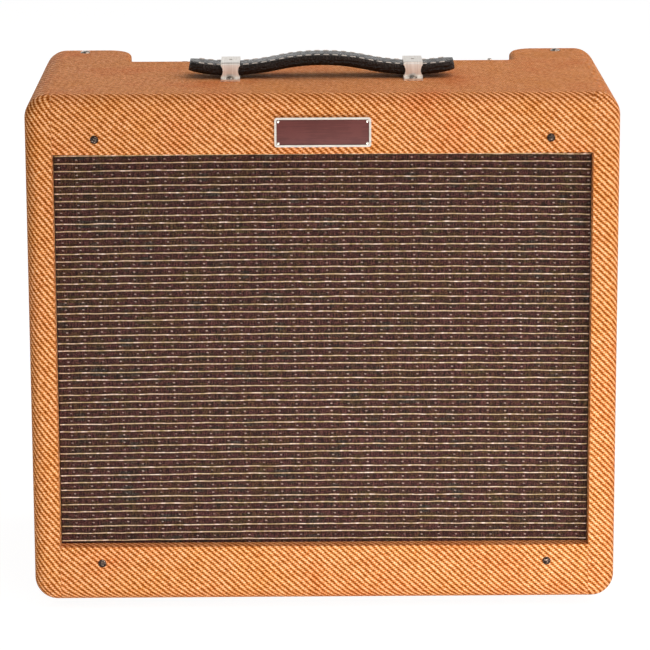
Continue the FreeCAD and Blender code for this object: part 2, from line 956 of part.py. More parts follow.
panel_rear = half_depth - d.tweed
panel_front = panel_rear - d.panel_thickness
panel_half = inner_half - d.panel_gap
chassis_bottom = inner_top - d.chassis_height
upper_high = chassis_bottom - d.panel_gap
upper_low = upper_high - d.upper_panel_height
lower_low = inner_bottom + d.panel_gap
lower_high = lower_low + d.lower_panel_height
panel_screw_side = inner_half - d.cleat / 2
panel_spots = [
    (side * panel_screw_side, panel_rear, height)
    for height in (
        upper_low + d.cleat,
        upper_high - d.cleat,
        lower_low + d.cleat,
        lower_high - d.cleat,
    )
    for side in (-1, 1)
]
panel_holes = screw_holes(
    "panel_holes", d.panel_screw, d.panel_screw_length, panel_spots, TOWARDS_FRONT
)
cleats = []
for node, low, high in (
    ("upper_back_panel", upper_low, upper_high),
    ("lower_back_panel", lower_low, lower_high),
):
    body = extruded(
        f"{node}_body", "XZ", rectangle(panel_half, low, high), panel_front, panel_rear
    )
    round_edges(body, 2.5, lambda edge: abs(edge.BoundBox.YMin - panel_rear.value) < 1e-6)
    keep(cut(f"{node}_bored", body, panel_holes), node)
    for side in (-1, 1):
        ends = sorted((side * inner_half, side * (inner_half - d.cleat)), key=lambda x: x.value)
        name = f"{node}_cleat_{'left' if side < 0 else 'right'}"
        bar = block(name, (ends[0], panel_front - d.cleat, low), (ends[1], panel_front, high))
        cleats.append(cut(f"{name}_bored", bar, panel_holes))
keep(group("cleat_set", cleats), "back_cleats")

screws = []
for number, spot in enumerate(panel_spots):
    measures = (d.panel_screw_head, d.panel_screw, d.panel_screw_length)
    screws += oval_screw(f"panel_screw_{number}", *measures, spot, TOWARDS_FRONT)
keep(group("panel_screw_set", screws), "back_panel_screws")

# ---------------------------------------------------------------- chassis
# A tray folded from steel sheet: top, rear wall, bottom and ends, open towards the speaker,
# with a lip along both front edges. It hangs under the top board.

chassis_back = half_depth - d.chassis_rear
chassis_front = chassis_back - d.chassis_depth
chassis_half = inner_half - d.chassis_play
under_top = inner_top - d.steel
over_bottom = chassis_bottom + d.steel
panel_top = inner_top + d.panel_plate
control_row = chassis_back - d.control_inset
first_control = d.first_control + d.bushing_radius - cutout_half
control_pitch = (cutout_half * 2 - d.first_control - d.last_control - d.bushing_radius * 2) / 9
row_names = ("jack", "volume", "fat", "treble", "bass", "middle", "master", "reverb", "lamp", "power")
places = {name: first_control + control_pitch * step for step, name in enumerate(row_names)}
controls = {name: places[name] for name in row_names if name not in ("jack", "fat", "lamp", "power")}
panel_bores = {name: d.bushing_radius for name in row_names}
panel_bores["fat"] = d.switch_bushing
panel_bores["lamp"] = d.lamp_radius
panel_bores["power"] = d.switch_bushing
control_holes = group(
    "control_holes",
    [
        rod(
            f"{name}_hole",
            panel_bores[name] + d.hole_play,
            (d.steel + d.panel_plate) * 2,
            (places[name], control_row, under_top - d.steel),
        )
        for name in row_names
    ],
)
rear_jacks = [d.rear_jack_place - d.rear_jack_pitch * number for number in range(2)]
apron_middle = (inner_top + chassis_bottom) / 2
inlet_place = chassis_half - d.inlet_inset
fuse_place = inlet_place - d.fuse_spacing
apron_holes = group(
    "apron_holes",
    [
        rod(
            f"apron_hole_{number}",
            radius + d.hole_play,
            d.steel + 2,
            (across, chassis_back - d.steel - 1, apron_middle),
            ALONG_Y,
        )
        for number, (across, radius) in enumerate(
            [(across, d.bushing_radius) for across in rear_jacks] + [(fuse_place, d.fuse_radius)]
        )
    ],
)
inlet_hole = block(
    "inlet_hole",
    (
        inlet_place - d.inlet_width / 2 - d.hole_play,
        chassis_back - d.steel - 1,
        apron_middle - d.inlet_height / 2 - d.hole_play,
    ),
    (
        inlet_place + d.inlet_width / 2 + d.hole_play,
        chassis_back + 1,
        apron_middle + d.inlet_height / 2 + d.hole_play,
    ),
)
valve_row = chassis_back - d.valve_inset
transformer_place = chassis_half - d.transformer_inset
output_place = transformer_place - d.output_spacing
first_valve = d.first_valve - chassis_half
core_share = 0.6  # half a core's width, for each millimetre of its height
last_valve = output_place - d.output_height * core_share - d.valve_clearance
valve_pitch = (last_valve - first_valve) / 4
valve_places = [first_valve + valve_pitch * number for number in range(5)]
socket_body = d.valve_radius - 0.4
valve_holes = group(
    "valve_holes",
    [
        rod(
            f"valve_hole_{number}",
            socket_body + d.hole_play,
            d.steel + 2,
            (across, valve_row, chassis_bottom - 1),
        )
        for number, across in enumerate(valve_places)
    ],
)
tray = block(
    "tray", (-chassis_half, chassis_front, chassis_bottom), (chassis_half, chassis_back, inner_top)
)
tray_room = block(
    "tray_room",
    (d.steel - chassis_half, chassis_front - 1, over_bottom),
    (chassis_half - d.steel, chassis_back - d.steel, under_top),
)
hollow_tray = cut("hollow_tray", tray, tray_room)
lips = [
    block(
        f"lip_{number}",
        (-chassis_half, chassis_front, low),
        (chassis_half, chassis_front + d.steel, low + d.lip),
    )
    for number, low in enumerate((chassis_bottom, inner_top - d.lip))
]
spacer_places = [
    (side * (chassis_half - d.lip * 2) * share, chassis_front + depth)
    for share in (1, 0.33)
    for side in (-1, 1)
    for depth in (d.lip * 1.5, d.chassis_depth - d.lip * 2)
]
spacers = [
    rod(f"spacer_{number}", d.spacer_radius, d.board_rise, (across, depth, over_bottom))
    for number, (across, depth) in enumerate(spacer_places)
]
folded = fused("folded_tray", hollow_tray, *lips, *spacers)
keep(
    cut("chassis_bored", folded, control_holes, apron_holes, inlet_hole, valve_holes, ear_holes),
    "chassis",
)

plate_half = cutout_half - d.panel_edge_gap
plate_front = cutout_front + d.panel_edge_gap
faceplate_lines = rectangle(plate_half, plate_front, chassis_back)
faceplate = extruded("faceplate", "XY", faceplate_lines, inner_top, panel_top)
round_edges(
    faceplate,
    d.nook_round - d.panel_edge_gap,
    lambda edge: upright_at(edge, plate_half.value, plate_front.value),
)
keep(cut("faceplate_bored", faceplate, control_holes), "control_panel")

board_low = over_bottom + d.board_rise
board_back = chassis_front + d.chassis_depth - d.lip
keep(
    block(
        "board_blank",
        (d.lip - chassis_half, chassis_front + d.steel * 2, board_low),
        (chassis_half - d.lip, board_back, board_low + d.circuit_thickness),
    ),
    "circuit_board",
)

screws = []
for number, spot in enumerate(ear_spots):
    measures = (d.ear_screw_head, d.ear_screw, d.ear_screw_length)
    screws += oval_screw(f"ear_screw_{number}", *measures, spot, DOWNWARD)
    nut = [
        (d.ear_screw + d.screw_play, 0),
        (d.ear_screw * 2, 0),
        (d.ear_screw * 2, d.ear_screw * 1.4),
        (d.ear_screw + d.screw_play, d.ear_screw * 1.4),
    ]
    screws.append(turned(f"ear_nut_{number}", nut, (spot[0], spot[1], under_top), DOWNWARD))
keep(group("ear_screw_set", screws), "chassis_screws")

# ---------------------------------------------------------------- controls
# Each control stands in a frame of its own: the origin on the underside of the chassis top.

bushing_top = d.steel + d.panel_plate + d.bushing_rise
knob_bottom = d.steel + d.panel_plate + d.knob_lift
shaft_top = knob_bottom + d.knob_height - 3
pot_floor = 1


def knob(name, at):
    """A pointer knob: a low round skirt under a tapered bar with a long beak."""
    skirt = [
        (0, 0),
        (d.knob_radius, 0),
        (d.knob_radius, d.knob_skirt - 2),
        (d.knob_radius - 1.5, d.knob_skirt),
        (0, d.knob_skirt),
    ]
    body = turned(name, skirt, at)
    bar = [
        (-d.knob_point, -d.knob_beak),
        (d.knob_point, -d.knob_beak),
        (d.knob_bar, 0),
        (d.knob_bar - 0.6, d.knob_radius - 2, d.knob_bar),
        (d.knob_bar * -1 + 0.6, d.knob_radius - 2),
        (-d.knob_bar, 0),
    ]
    beak = body.newObject("PartDesign::Pad", f"{name}_bar")
    beak.Profile = sketch_in(body, "XY", bar)
    beak.setExpression("Length", d.knob_height.text)
    beak.setExpression("TaperAngle", f"{(-d.knob_draft).text} * 1 deg")
    nut_room = d.bushing_radius * d.nut_share + d.hole_play
    recess = [
        (0, 0),
        (nut_room, 0),
        (nut_room, d.bushing_rise),
        (d.shaft_radius + d.knob_fit, d.bushing_rise),
        (d.shaft_radius + d.knob_fit, shaft_top - knob_bottom + d.knob_fit * 4),
        (0, shaft_top - knob_bottom + d.knob_fit * 4),
    ]
    bore = body.newObject("PartDesign::Groove", f"{name}_bore")
    sketch = sketch_in(body, "XZ", recess)
    bore.Profile = sketch
    bore.ReferenceAxis = (sketch, ["V_Axis"])
    bore.Angle = 360
    return body


pots = []
for name, across in controls.items():
    pot_lines = [
        (0, -d.pot_height),
        (d.pot_radius, -d.pot_height),
        (d.pot_radius, 0),
        (d.bushing_radius, 0),
        (d.bushing_radius, bushing_top),
        (d.shaft_radius + d.shaft_play, bushing_top),
        (d.shaft_radius + d.shaft_play, pot_floor - d.pot_height),
        (0, pot_floor - d.pot_height),
    ]
    at = (across, control_row, under_top)
    pots.append(turned(f"{name}_pot", pot_lines, at))
    shaft_bottom = pot_floor - d.pot_height + d.shaft_play
    shaft_lines = [
        (0, shaft_bottom),
        (d.shaft_radius, shaft_bottom),
        (d.shaft_radius, shaft_top),
        (0, shaft_top),
    ]
    keep(turned(f"{name}_shaft", shaft_lines, at), f"shaft_{name}")
    knob_at = (across, control_row, under_top + knob_bottom)
    keep(knob(f"{name}_knob", knob_at), f"knob_{name}")
keep(group("pot_set", pots), "potentiometers")


def jack(name, rise, at, turn):
    """A quarter-inch jack: a moulded box behind a threaded bushing, bored for the plug."""
    half = d.jack_body / 2
    box = block(f"{name}_box", (-half, -half, -d.jack_depth), (half, half, 0))
    bushing = rod(f"{name}_bushing", d.bushing_radius, rise, (0, 0, 0))
    bore = rod(f"{name}_bore", d.jack_bore, d.jack_depth + rise, (0, 0, 2 - d.jack_depth))
    shape = cut(f"{name}_bored", fused(f"{name}_blank", box, bushing), bore)
    return place(shape, at, turn)


top_jack_rise = d.steel + d.panel_plate + d.bushing_rise
keep(
    jack("input", top_jack_rise, (places["jack"], control_row, under_top), UPRIGHT), "input_jack"
)
rear_rise = d.steel + d.rear_rise
keep(
    group(
        "rear_jack_pair",
        [
            jack(
                f"rear_{number}",
                rear_rise,
                (across, chassis_back - d.steel, apron_middle),
                ALONG_Y,
            )
            for number, across in enumerate(rear_jacks)
        ],
    ),
    "rear_jacks",
)


def nut(name, bore, at, turn=UPRIGHT):
    """A hexagon nut that stands on the panel round a threaded bushing."""
    corner = bore * d.nut_share
    half = corner / 2
    side = half * root(measure(3))
    hexagon = [
        (corner, 0),
        (half, side),
        (-half, side),
        (-corner, 0),
        (-half, -side),
        (half, -side),
    ]
    body = extruded(name, "XY", hexagon, measure(0), d.nut_thickness)
    thread = rod(f"{name}_thread", bore + d.screw_play, d.nut_thickness * 3, (0, 0, -d.nut_thickness))
    return place(cut(f"{name}_bored", body, thread), at, turn)


nuts = [
    nut(f"{name}_nut", panel_bores[name], (places[name], control_row, panel_top))
    for name in row_names
    if name != "lamp"
]
nuts += [
    nut(f"rear_nut_{number}", d.bushing_radius, (across, chassis_back, apron_middle), ALONG_Y)
    for number, across in enumerate(rear_jacks)
]
keep(group("nut_set", nuts), "panel_nuts")

button_bore = d.button_radius + d.shaft_play
switch_half = d.switch_body / 2
fat_at = (places["fat"], control_row, under_top)
fat_floor = 1.5 - d.switch_depth
fat_box = block(
    "fat_box", (-switch_half, -switch_half, -d.switch_depth), (switch_half, switch_half, 0)
)
fat_bushing = rod("fat_bushing", d.switch_bushing, bushing_top - 1, (0, 0, 0))
fat_bore = rod("fat_bore", button_bore, d.switch_depth + bushing_top, (0, 0, fat_floor))
fat_shape = cut("fat_bored", fused("fat_blank", fat_box, fat_bushing), fat_bore)
keep(place(fat_shape, fat_at), "fat_switch")
button_low = fat_floor + d.button_travel + d.shaft_play
button_high = bushing_top - 1 + d.button_travel * 2
button_lines = [
    (0, button_low),
    (d.button_radius, button_low),
    (d.button_radius, button_high - 0.8),
    (d.button_radius - 0.8, button_high),
    (0, button_high),
]
keep(turned("fat_button_body", button_lines, fat_at), "fat_button")

lamp_at = (places["lamp"], control_row, panel_top)
lamp_bore = d.lamp_radius - d.lamp_wall
lamp_floor = d.lamp_wall - d.lamp_depth
bezel_lines = [
    (0, -d.lamp_depth),
    (d.lamp_radius, -d.lamp_depth),
    (d.lamp_radius, 0),
    (d.lamp_radius + d.lamp_rim, 0),
    (d.lamp_radius + d.lamp_rim / 2, d.lamp_rim_height),
    (lamp_bore, d.lamp_rim_height),
    (lamp_bore, lamp_floor),
    (0, lamp_floor),
]
keep(turned("bezel_body", bezel_lines, lamp_at), "pilot_bezel")
jewel = lamp_bore - d.jewel_play
jewel_lines = [
    (0, -d.jewel_seat),
    (jewel, -d.jewel_seat),
    (jewel, d.jewel_rise * 0.3),
    (jewel * 0.86, d.jewel_rise * 0.6),
    (jewel * 0.5, d.jewel_rise * 0.9),
    (0, d.jewel_rise),
]
keep(turned("jewel_body", jewel_lines, lamp_at), "pilot_jewel")

power_at = (places["power"], control_row, under_top)
power_mouth = bushing_top + d.switch_bushing_rise
power_box = block(
    "power_box",
    (-d.switch_body * 0.7, -d.switch_body, -d.switch_depth - 3),
    (d.switch_body * 0.7, d.switch_body, 0),
)
power_bushing = rod("power_bushing", d.switch_bushing, power_mouth, (0, 0, 0))
pivot_rise = power_mouth - d.toggle_mouth
power_bore = rod(
    "power_bore",
    d.toggle_bore,
    power_mouth + d.switch_depth,
    (0, 0, pivot_rise - d.toggle_ball - 2),
)
power_shape = cut("power_bored", fused("power_blank", power_box, power_bushing), power_bore)
keep(place(power_shape, power_at), "power_switch")
neck_up = root(d.toggle_ball * d.toggle_ball - d.toggle_neck * d.toggle_neck)
toggle_lines = [
    (0, -d.toggle_ball, d.toggle_ball),
    (d.toggle_ball, 0, d.toggle_ball),
    (d.toggle_neck, neck_up),
    (d.toggle_neck, d.toggle_mouth - 1),
    (d.toggle_tip, d.toggle_length - 2),
    (d.toggle_tip * 0.6, d.toggle_length - 0.3),
    (0, d.toggle_length),
]
toggle_at = (places["power"], control_row, under_top + pivot_rise)
keep(
    turned("toggle_lever", toggle_lines, toggle_at, ((1, 0, 0), d.toggle_lean)), "power_toggle"
)

# ---------------------------------------------------------------- rear apron

inlet_half = d.inlet_width / 2
inlet_up = d.inlet_height / 2
flange = d.inlet_flange


def inlet_block(name, margin, low, high):
    """A box about the inlet's axis, from low to high along Y."""
    return block(
        name,
        (inlet_place - inlet_half - margin, low, apron_middle - inlet_up - margin),
        (inlet_place + inlet_half + margin, high, apron_middle + inlet_up + margin),
    )


inlet_body = fused(
    "inlet_body",
    inlet_block("inlet_shell", measure(0), chassis_back - d.inlet_depth, chassis_back),
    inlet_block("inlet_flange", flange, chassis_back, chassis_back + flange / 2),
)
socket_lines = [
    (inlet_place - inlet_half + flange / 2, apron_middle - inlet_up + flange * 2),
    (inlet_place - inlet_half + flange * 2, apron_middle - inlet_up + flange / 2),
    (inlet_place + inlet_half - flange * 2, apron_middle - inlet_up + flange / 2),
    (inlet_place + inlet_half - flange / 2, apron_middle - inlet_up + flange * 2),
    (inlet_place + inlet_half - flange / 2, apron_middle + inlet_up - flange / 2),
    (inlet_place - inlet_half + flange / 2, apron_middle + inlet_up - flange / 2),
]
socket_floor = chassis_back - d.inlet_depth + d.inlet_floor
socket_room = extruded("socket_room", "XZ", socket_lines, socket_floor, chassis_back + flange)
pin_spots = ((-d.pin_spacing, -d.pin_width), (measure(0), d.pin_width), (d.pin_spacing, -d.pin_width))
half_pin, pin_up = d.pin_width / 2, d.pin_height / 2
pins = [
    block(
        f"inlet_pin_{number}",
        (inlet_place + across - half_pin, socket_floor - 1, apron_middle + up - pin_up),
        (inlet_place + across + half_pin, chassis_back - d.pin_recess, apron_middle + up + pin_up),
    )
    for number, (across, up) in enumerate(pin_spots)
]
keep(fused("inlet_whole", cut("inlet_open", inlet_body, socket_room), *pins), "mains_inlet")

fuse_lines = [
    (0, -d.fuse_depth),
    (d.fuse_radius - 1, -d.fuse_depth),
    (d.fuse_radius, 0),
    (d.fuse_radius, d.steel),
    (d.fuse_radius + 1.5, d.steel),
    (d.fuse_radius + 1.5, d.steel + 1),
    (d.fuse_radius - 0.5, d.steel + 1),
    (d.fuse_radius - 1, d.steel + d.rear_rise),
    (0, d.steel + d.rear_rise),
]
fuse_at = (fuse_place, chassis_back - d.steel, apron_middle)
keep(turned("fuse_body", fuse_lines, fuse_at, ALONG_Y), "fuse_holder")

# ---------------------------------------------------------------- valves and iron

sockets = []
valves = []
for number, across in enumerate(valve_places):
    flange_radius = socket_body + d.socket_flange
    socket_lines = [
        (0, -d.socket_thickness),
        (flange_radius, -d.socket_thickness),
        (flange_radius, 0),
        (socket_body, 0),
        (socket_body, d.board_rise - 1),
        (0, d.board_rise - 1),
    ]
    at = (across, valve_row, chassis_bottom)
    sockets.append(turned(f"socket_{number}", socket_lines, at))
    length = d.preamp_valve_length if number < 3 else d.power_valve_length
    glass = d.valve_radius
    valve_lines = [
        (0, 0),
        (glass - d.valve_foot, 0),
        (glass, d.valve_foot),
        (glass, length - glass * 0.8, glass),
        (d.valve_tip, length - d.valve_tip_height),
        (d.valve_tip / 2, length),
        (0, length),
    ]
    below = (across, valve_row, chassis_bottom - d.socket_thickness - d.hole_play)
    valves.append(turned(f"valve_{number}", valve_lines, below, DOWNWARD))
keep(group("socket_set", sockets), "valve_sockets")
keep(group("preamp_valve_set", valves[:3]), "preamp_valves")
keep(group("power_valve_set", valves[3:]), "power_valves")


def lies_at_depth(edge, depth):
    """True for an edge that lies wholly at one depth."""
    return abs(edge.BoundBox.YMin - depth) < 1e-6 and edge.BoundBox.YLength < 1e-6


bell_share = 0.86  # a bell's width, for each millimetre of the core's
bell_margin = 0.07  # how far a bell stays inside the core, above and below, for its height


def transformer(name, middle, height, stack):
    """A stack of laminations between two pressed end bells, bolted under the chassis."""
    half = height * core_share
    bell_half = half * bell_share
    bell_edge = height * bell_margin
    core = block(
        f"{name}_core",
        (middle - half, valve_row - stack, chassis_bottom - height),
        (middle + half, valve_row + stack, chassis_bottom),
    )
    bell_lines = [
        (middle - bell_half, chassis_bottom - height + bell_edge),
        (middle + bell_half, chassis_bottom - height + bell_edge),
        (middle + bell_half, chassis_bottom - bell_edge),
        (middle - bell_half, chassis_bottom - bell_edge),
    ]
    bells = []
    for place_name, near, far, outer in (
        ("front", -stack * 2, -stack, -stack * 2),
        ("rear", stack, stack * 2, stack * 2),
    ):
        bell = extruded(
            f"{name}_{place_name}_bell", "XZ", bell_lines, valve_row + near, valve_row + far
        )
        rim = (valve_row + outer).value
        round_edges(bell, stack * 0.5, lambda edge: lies_at_depth(edge, rim))
        bells.append(bell)
    return group(f"{name}_whole", [core, *bells])


keep(
    transformer("mains", transformer_place, d.transformer_height, d.transformer_stack),
    "power_transformer",
)
keep(
    transformer("output", output_place, d.output_height, d.output_stack), "output_transformer"
)

tank_half = d.tank_length / 2
tank_rear = panel_front - d.tank_gap
tank_front = tank_rear - d.tank_depth
tank_top = inner_bottom + d.tank_height
tank = block("tank_pan", (-tank_half, tank_front, inner_bottom), (tank_half, tank_rear, tank_top))
tank_room = block(
    "tank_room",
    (d.steel - tank_half, tank_front + d.steel, inner_bottom - d.steel),
    (tank_half - d.steel, tank_rear - d.steel, tank_top - d.steel),
)
keep(cut("tank_open", tank, tank_room), "reverb_tank")

# ---------------------------------------------------------------- speaker
# Everything here turns about one axis, with Z running back from the baffle's rear face.

speaker_at = (0, baffle_back, opening_middle)
sheet_metal = d.basket_steel
step_radius = d.speaker_radius - d.basket_flange
landing_radius = step_radius - d.basket_landing
shoulder = d.basket_step + sheet_metal + d.basket_shoulder
seat_radius = d.pot_radius_of_basket + d.basket_flange
throat = d.coil_radius + d.throat_play
basket_lines = [
    (d.speaker_radius, 0),
    (d.speaker_radius, sheet_metal),
    (step_radius, sheet_metal),
    (step_radius, d.basket_step + sheet_metal),
    (landing_radius, d.basket_step + sheet_metal),
    (landing_radius, shoulder),
    (seat_radius, d.spider_seat + sheet_metal),
    (d.pot_radius_of_basket, d.spider_seat + sheet_metal),
    (d.pot_radius_of_basket, d.basket_depth),
    (throat, d.basket_depth),
    (throat, d.basket_depth - sheet_metal),
    (d.pot_radius_of_basket - sheet_metal, d.basket_depth - sheet_metal),
    (d.pot_radius_of_basket - sheet_metal, d.spider_seat),
    (seat_radius - sheet_metal * 0.4, d.spider_seat),
    (landing_radius - sheet_metal, shoulder - sheet_metal * 0.5),
    (landing_radius - sheet_metal, d.basket_step),
    (step_radius - sheet_metal, d.basket_step),
    (step_radius - sheet_metal, 0),
]
basket = turned("basket_body", basket_lines, speaker_at, ALONG_Y, "front_frame")
half_window = d.window_angle / 2
window_outer = landing_radius - d.window_outer_margin
window_inner = seat_radius + d.window_inner_margin
window_lines = [
    (window_outer * cosine(half_window), -window_outer * sine(half_window), window_outer),
    (window_outer * cosine(half_window), window_outer * sine(half_window)),
    (window_inner * cosine(half_window), window_inner * sine(half_window), -window_inner),
    (window_inner * cosine(half_window), -window_inner * sine(half_window)),
]
window = pocket(basket, "XY", window_lines, d.basket_depth - d.basket_step, d.basket_depth + 1)
pattern = basket.newObject("PartDesign::PolarPattern", "basket_windows")
pattern.Originals = [window]
pattern.Axis = (next(o for o in basket.Origin.OriginFeatures if o.Role == "Z_Axis"), [""])
pattern.Angle = 360
pattern.setExpression("Occurrences", d.basket_windows.text)
basket.Tip = pattern
bolt_clearance = screw_holes(
    "bolt_clearance",
    d.bolt_shank,
    d.bolt_length,
    [(across, up * -1, sheet_metal) for across, up in speaker_bolts],
    DOWNWARD,
)
place(bolt_clearance, speaker_at, ALONG_Y, "front_frame")
keep(cut("basket_bored", basket, bolt_clearance), "speaker_basket")

screws = []
for number, (across, up) in enumerate(speaker_bolts):
    spot = (across, baffle_back + sheet_metal, opening_middle + up)
    measures = (d.bolt_shank * 1.7, d.bolt_shank * 1.2, d.bolt_shank, d.bolt_length)
    screws.append(pan_screw(f"bolt_{number}", *measures, spot, TOWARDS_FRONT, "front_frame"))
keep(group("bolt_set", screws), "speaker_screws")

coil_outer = d.coil_radius + d.cone_paper * 0.8
pole_radius = d.coil_radius - d.coil_gap
plate_top = d.basket_depth
ring_top = plate_top + d.iron
ring_bottom = ring_top + d.magnet_thickness
back_bottom = ring_bottom + d.iron
magnet_lines = {
    "top_plate": [
        (coil_outer + d.coil_gap, plate_top),
        (d.iron_radius, plate_top),
        (d.iron_radius, ring_top),
        (coil_outer + d.coil_gap, ring_top),
    ],
    "ceramic_ring": [
        (throat + d.ring_play, ring_top),
        (d.magnet_radius, ring_top),
        (d.magnet_radius, ring_bottom),
        (throat + d.ring_play, ring_bottom),
    ],
    "back_plate": [
        (0, plate_top),
        (pole_radius, plate_top),
        (pole_radius, ring_bottom),
        (d.iron_radius, ring_bottom),
        (d.iron_radius, back_bottom),
        (0, back_bottom),
    ],
}
keep(
    group(
        "magnet_set",
        [
            turned(name, lines, speaker_at, ALONG_Y, "front_frame")
            for name, lines in magnet_lines.items()
        ],
    ),
    "speaker_magnet",
)

rim = d.basket_step - 1
neck = d.spider_seat - d.coil_reach
coil_bottom = ring_top + d.coil_reach
cap_radius = d.coil_radius + d.cap_overlap
slant = (neck - rim) / (d.cone_radius - d.coil_radius)
cap_edge = rim + (d.cone_radius - cap_radius) * slant
cap_front = cap_edge - d.cap_rise
cap_swell = (cap_radius * cap_radius + d.cap_rise * d.cap_rise) / (d.cap_rise * 2)
cone_lines = [
    (0, cap_front, cap_swell),
    (cap_radius, cap_edge),
    (d.cone_radius, rim),
    (d.cone_radius, rim + d.cone_paper),
    (coil_outer, neck + d.cone_paper),
    (coil_outer, coil_bottom),
    (d.coil_radius, coil_bottom),
    (d.coil_radius, neck),
    (cap_radius - d.cone_paper, cap_edge + d.cone_paper * slant, -cap_swell),
    (0, cap_front + d.cone_paper),
]
keep(turned("cone_body", cone_lines, speaker_at, ALONG_Y, "front_frame"), "speaker_cone")

roll_start = d.cone_radius + d.surround_gap
roll_end = landing_radius + 1
roll = (roll_end - roll_start) / 2
half_roll = roll * 1.02  # a little over half the width, so that the roll is just under a semicircle
thick = d.surround_thickness
surround_lines = [
    (roll_start, rim, half_roll),
    (roll_end, rim),
    (step_radius - sheet_metal * 2, rim),
    (step_radius - sheet_metal * 2, d.basket_step),
    (roll_end - thick, d.basket_step, thick - half_roll),
    (roll_start + thick, d.basket_step),
    (roll_start, d.basket_step),
]
keep(
    turned("surround_body", surround_lines, speaker_at, ALONG_Y, "front_frame"), "speaker_surround"
)

spider_inner = coil_outer + d.surround_gap
spider_outer = seat_radius - sheet_metal
waves = 6
fold = (d.pot_radius_of_basket - sheet_metal * 2 - spider_inner) / (waves * 2)
spider_front = d.spider_seat - d.spider_thickness
front_side = [(spider_inner, spider_front)]
back_side = [(spider_inner, d.spider_seat)]
for number in range(1, waves * 2):
    dip = d.spider_depth * (number % 2)
    front_side.append((spider_inner + fold * number, spider_front - dip))
    back_side.append((spider_inner + fold * number, d.spider_seat - dip))
front_side.append((spider_outer, spider_front))
back_side.append((spider_outer, d.spider_seat))
keep(
    turned(
        "spider_body", back_side + front_side[::-1], speaker_at, ALONG_Y, "front_frame"
    ),
    "speaker_spider",
)

# ---------------------------------------------------------------- check and write


def write_parts():
    doc.recompute()
    for piece in doc.Objects:
        if "Invalid" in piece.State or "Error" in piece.State:
            raise RuntimeError(f"{piece.Name} failed: {piece.State}")
    os.makedirs("parts", exist_ok=True)
    for node, piece in parts.items():
        shape = piece.Shape
        if shape.isNull() or not shape.isValid() or not shape.Solids:
            raise RuntimeError(f"{node} has no valid shape")
        shape.exportStep(os.path.join("parts", f"{node}.step"))
        print(f"{node}: {len(shape.Solids)} solids, {shape.Volume / 1000:.2f} cm3")


write_parts()
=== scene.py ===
import math

import bmesh
import bpy
from mathutils import Matrix, Vector


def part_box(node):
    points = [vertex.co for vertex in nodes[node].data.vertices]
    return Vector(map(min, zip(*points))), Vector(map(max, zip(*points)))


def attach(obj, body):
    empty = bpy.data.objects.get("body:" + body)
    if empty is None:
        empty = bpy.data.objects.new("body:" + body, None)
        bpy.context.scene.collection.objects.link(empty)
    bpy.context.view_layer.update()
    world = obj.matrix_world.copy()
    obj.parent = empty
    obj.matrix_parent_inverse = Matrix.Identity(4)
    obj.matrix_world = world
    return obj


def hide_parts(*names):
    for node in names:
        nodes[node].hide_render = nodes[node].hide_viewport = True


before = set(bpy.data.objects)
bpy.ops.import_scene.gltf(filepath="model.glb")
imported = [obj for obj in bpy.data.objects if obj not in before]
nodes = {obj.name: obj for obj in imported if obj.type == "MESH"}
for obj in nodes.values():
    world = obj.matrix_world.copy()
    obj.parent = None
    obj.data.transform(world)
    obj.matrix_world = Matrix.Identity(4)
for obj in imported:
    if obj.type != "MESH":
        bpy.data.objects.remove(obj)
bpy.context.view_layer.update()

# ---- floor, backdrop and light ----------------------------------------------------------
# The amplifier stands on matt white paper that runs on as far as can be seen. A low strip
# lights its front, a small box stands further off to the right, a large one that is slightly
# warm hangs high on the right, and one stands behind. The studio greys towards its ceiling.


def linear(colour):
    """An sRGB hex colour as linear red, green, blue and alpha."""
    parts = [int(colour[i:i + 2], 16) / 255 for i in (0, 2, 4)]
    return [c / 12.92 if c <= 0.04045 else ((c + 0.055) / 1.055) ** 2.4 for c in parts] + [1.0]


def add(tree, kind, links=None, out=0, stops=(), **settings):
    """Adds a node with its settings, colour stops and links, and gives one of its outputs."""
    node = tree.nodes.new("ShaderNode" + kind)
    for name, value in settings.items():
        setattr(node, name, value)
    for number, (place, colour) in enumerate(stops):
        if number > 1:
            node.color_ramp.elements.new(place)
        node.color_ramp.elements[number].position = place
        node.color_ramp.elements[number].color = linear(colour)
    for name, value in (links or {}).items():
        if isinstance(value, bpy.types.NodeSocket):
            tree.links.new(value, node.inputs[name])
        else:
            node.inputs[name].default_value = value
    return node.outputs[out] if node.outputs else node


def new_finish(name):
    """A material with an empty tree, and the tree."""
    material = bpy.data.materials.new(name)
    material.use_nodes = True
    material.node_tree.nodes.clear()
    return material, material.node_tree


def mottled(name, per_metre, detail, stops, gloss, relief=None, stretch=None, coarse=0.5, metal=0.0):
    """A material whose colour varies with one noise, as do its gloss and relief where given.

    The noise has so many patches per metre. The gloss is one roughness or the two that it
    varies between, and the relief is a bump's strength and height.
    """
    material, tree = new_finish(name)
    spot = add(tree, "TexCoord", out=3)
    if stretch:
        spot = add(tree, "Mapping", {0: spot, "Scale": stretch})
    noise = add(
        tree, "TexNoise", {"Vector": spot, "Scale": per_metre, "Detail": detail, "Roughness": coarse})
    shade = add(tree, "ValToRGB", {0: noise}, stops=stops)
    inputs = {"Base Color": shade, "Roughness": gloss, "Metallic": metal}
    if isinstance(gloss, tuple):
        inputs["Roughness"] = add(tree, "MapRange", {0: noise, 3: gloss[0], 4: gloss[1]})
    if relief:
        strength, height = relief
        inputs["Normal"] = add(tree, "Bump", {"Height": noise, "Strength": strength, "Distance": height})
    add(tree, "OutputMaterial", {"Surface": add(tree, "BsdfPrincipled", inputs)})
    return material


def outline_mesh(name, points, faces):
    """A mesh object from its points and faces."""
    mesh = bpy.data.meshes.new(name)
    mesh.from_pydata(points, [], faces)
    thing = bpy.data.objects.new(name, mesh)
    bpy.context.collection.objects.link(thing)
    return thing


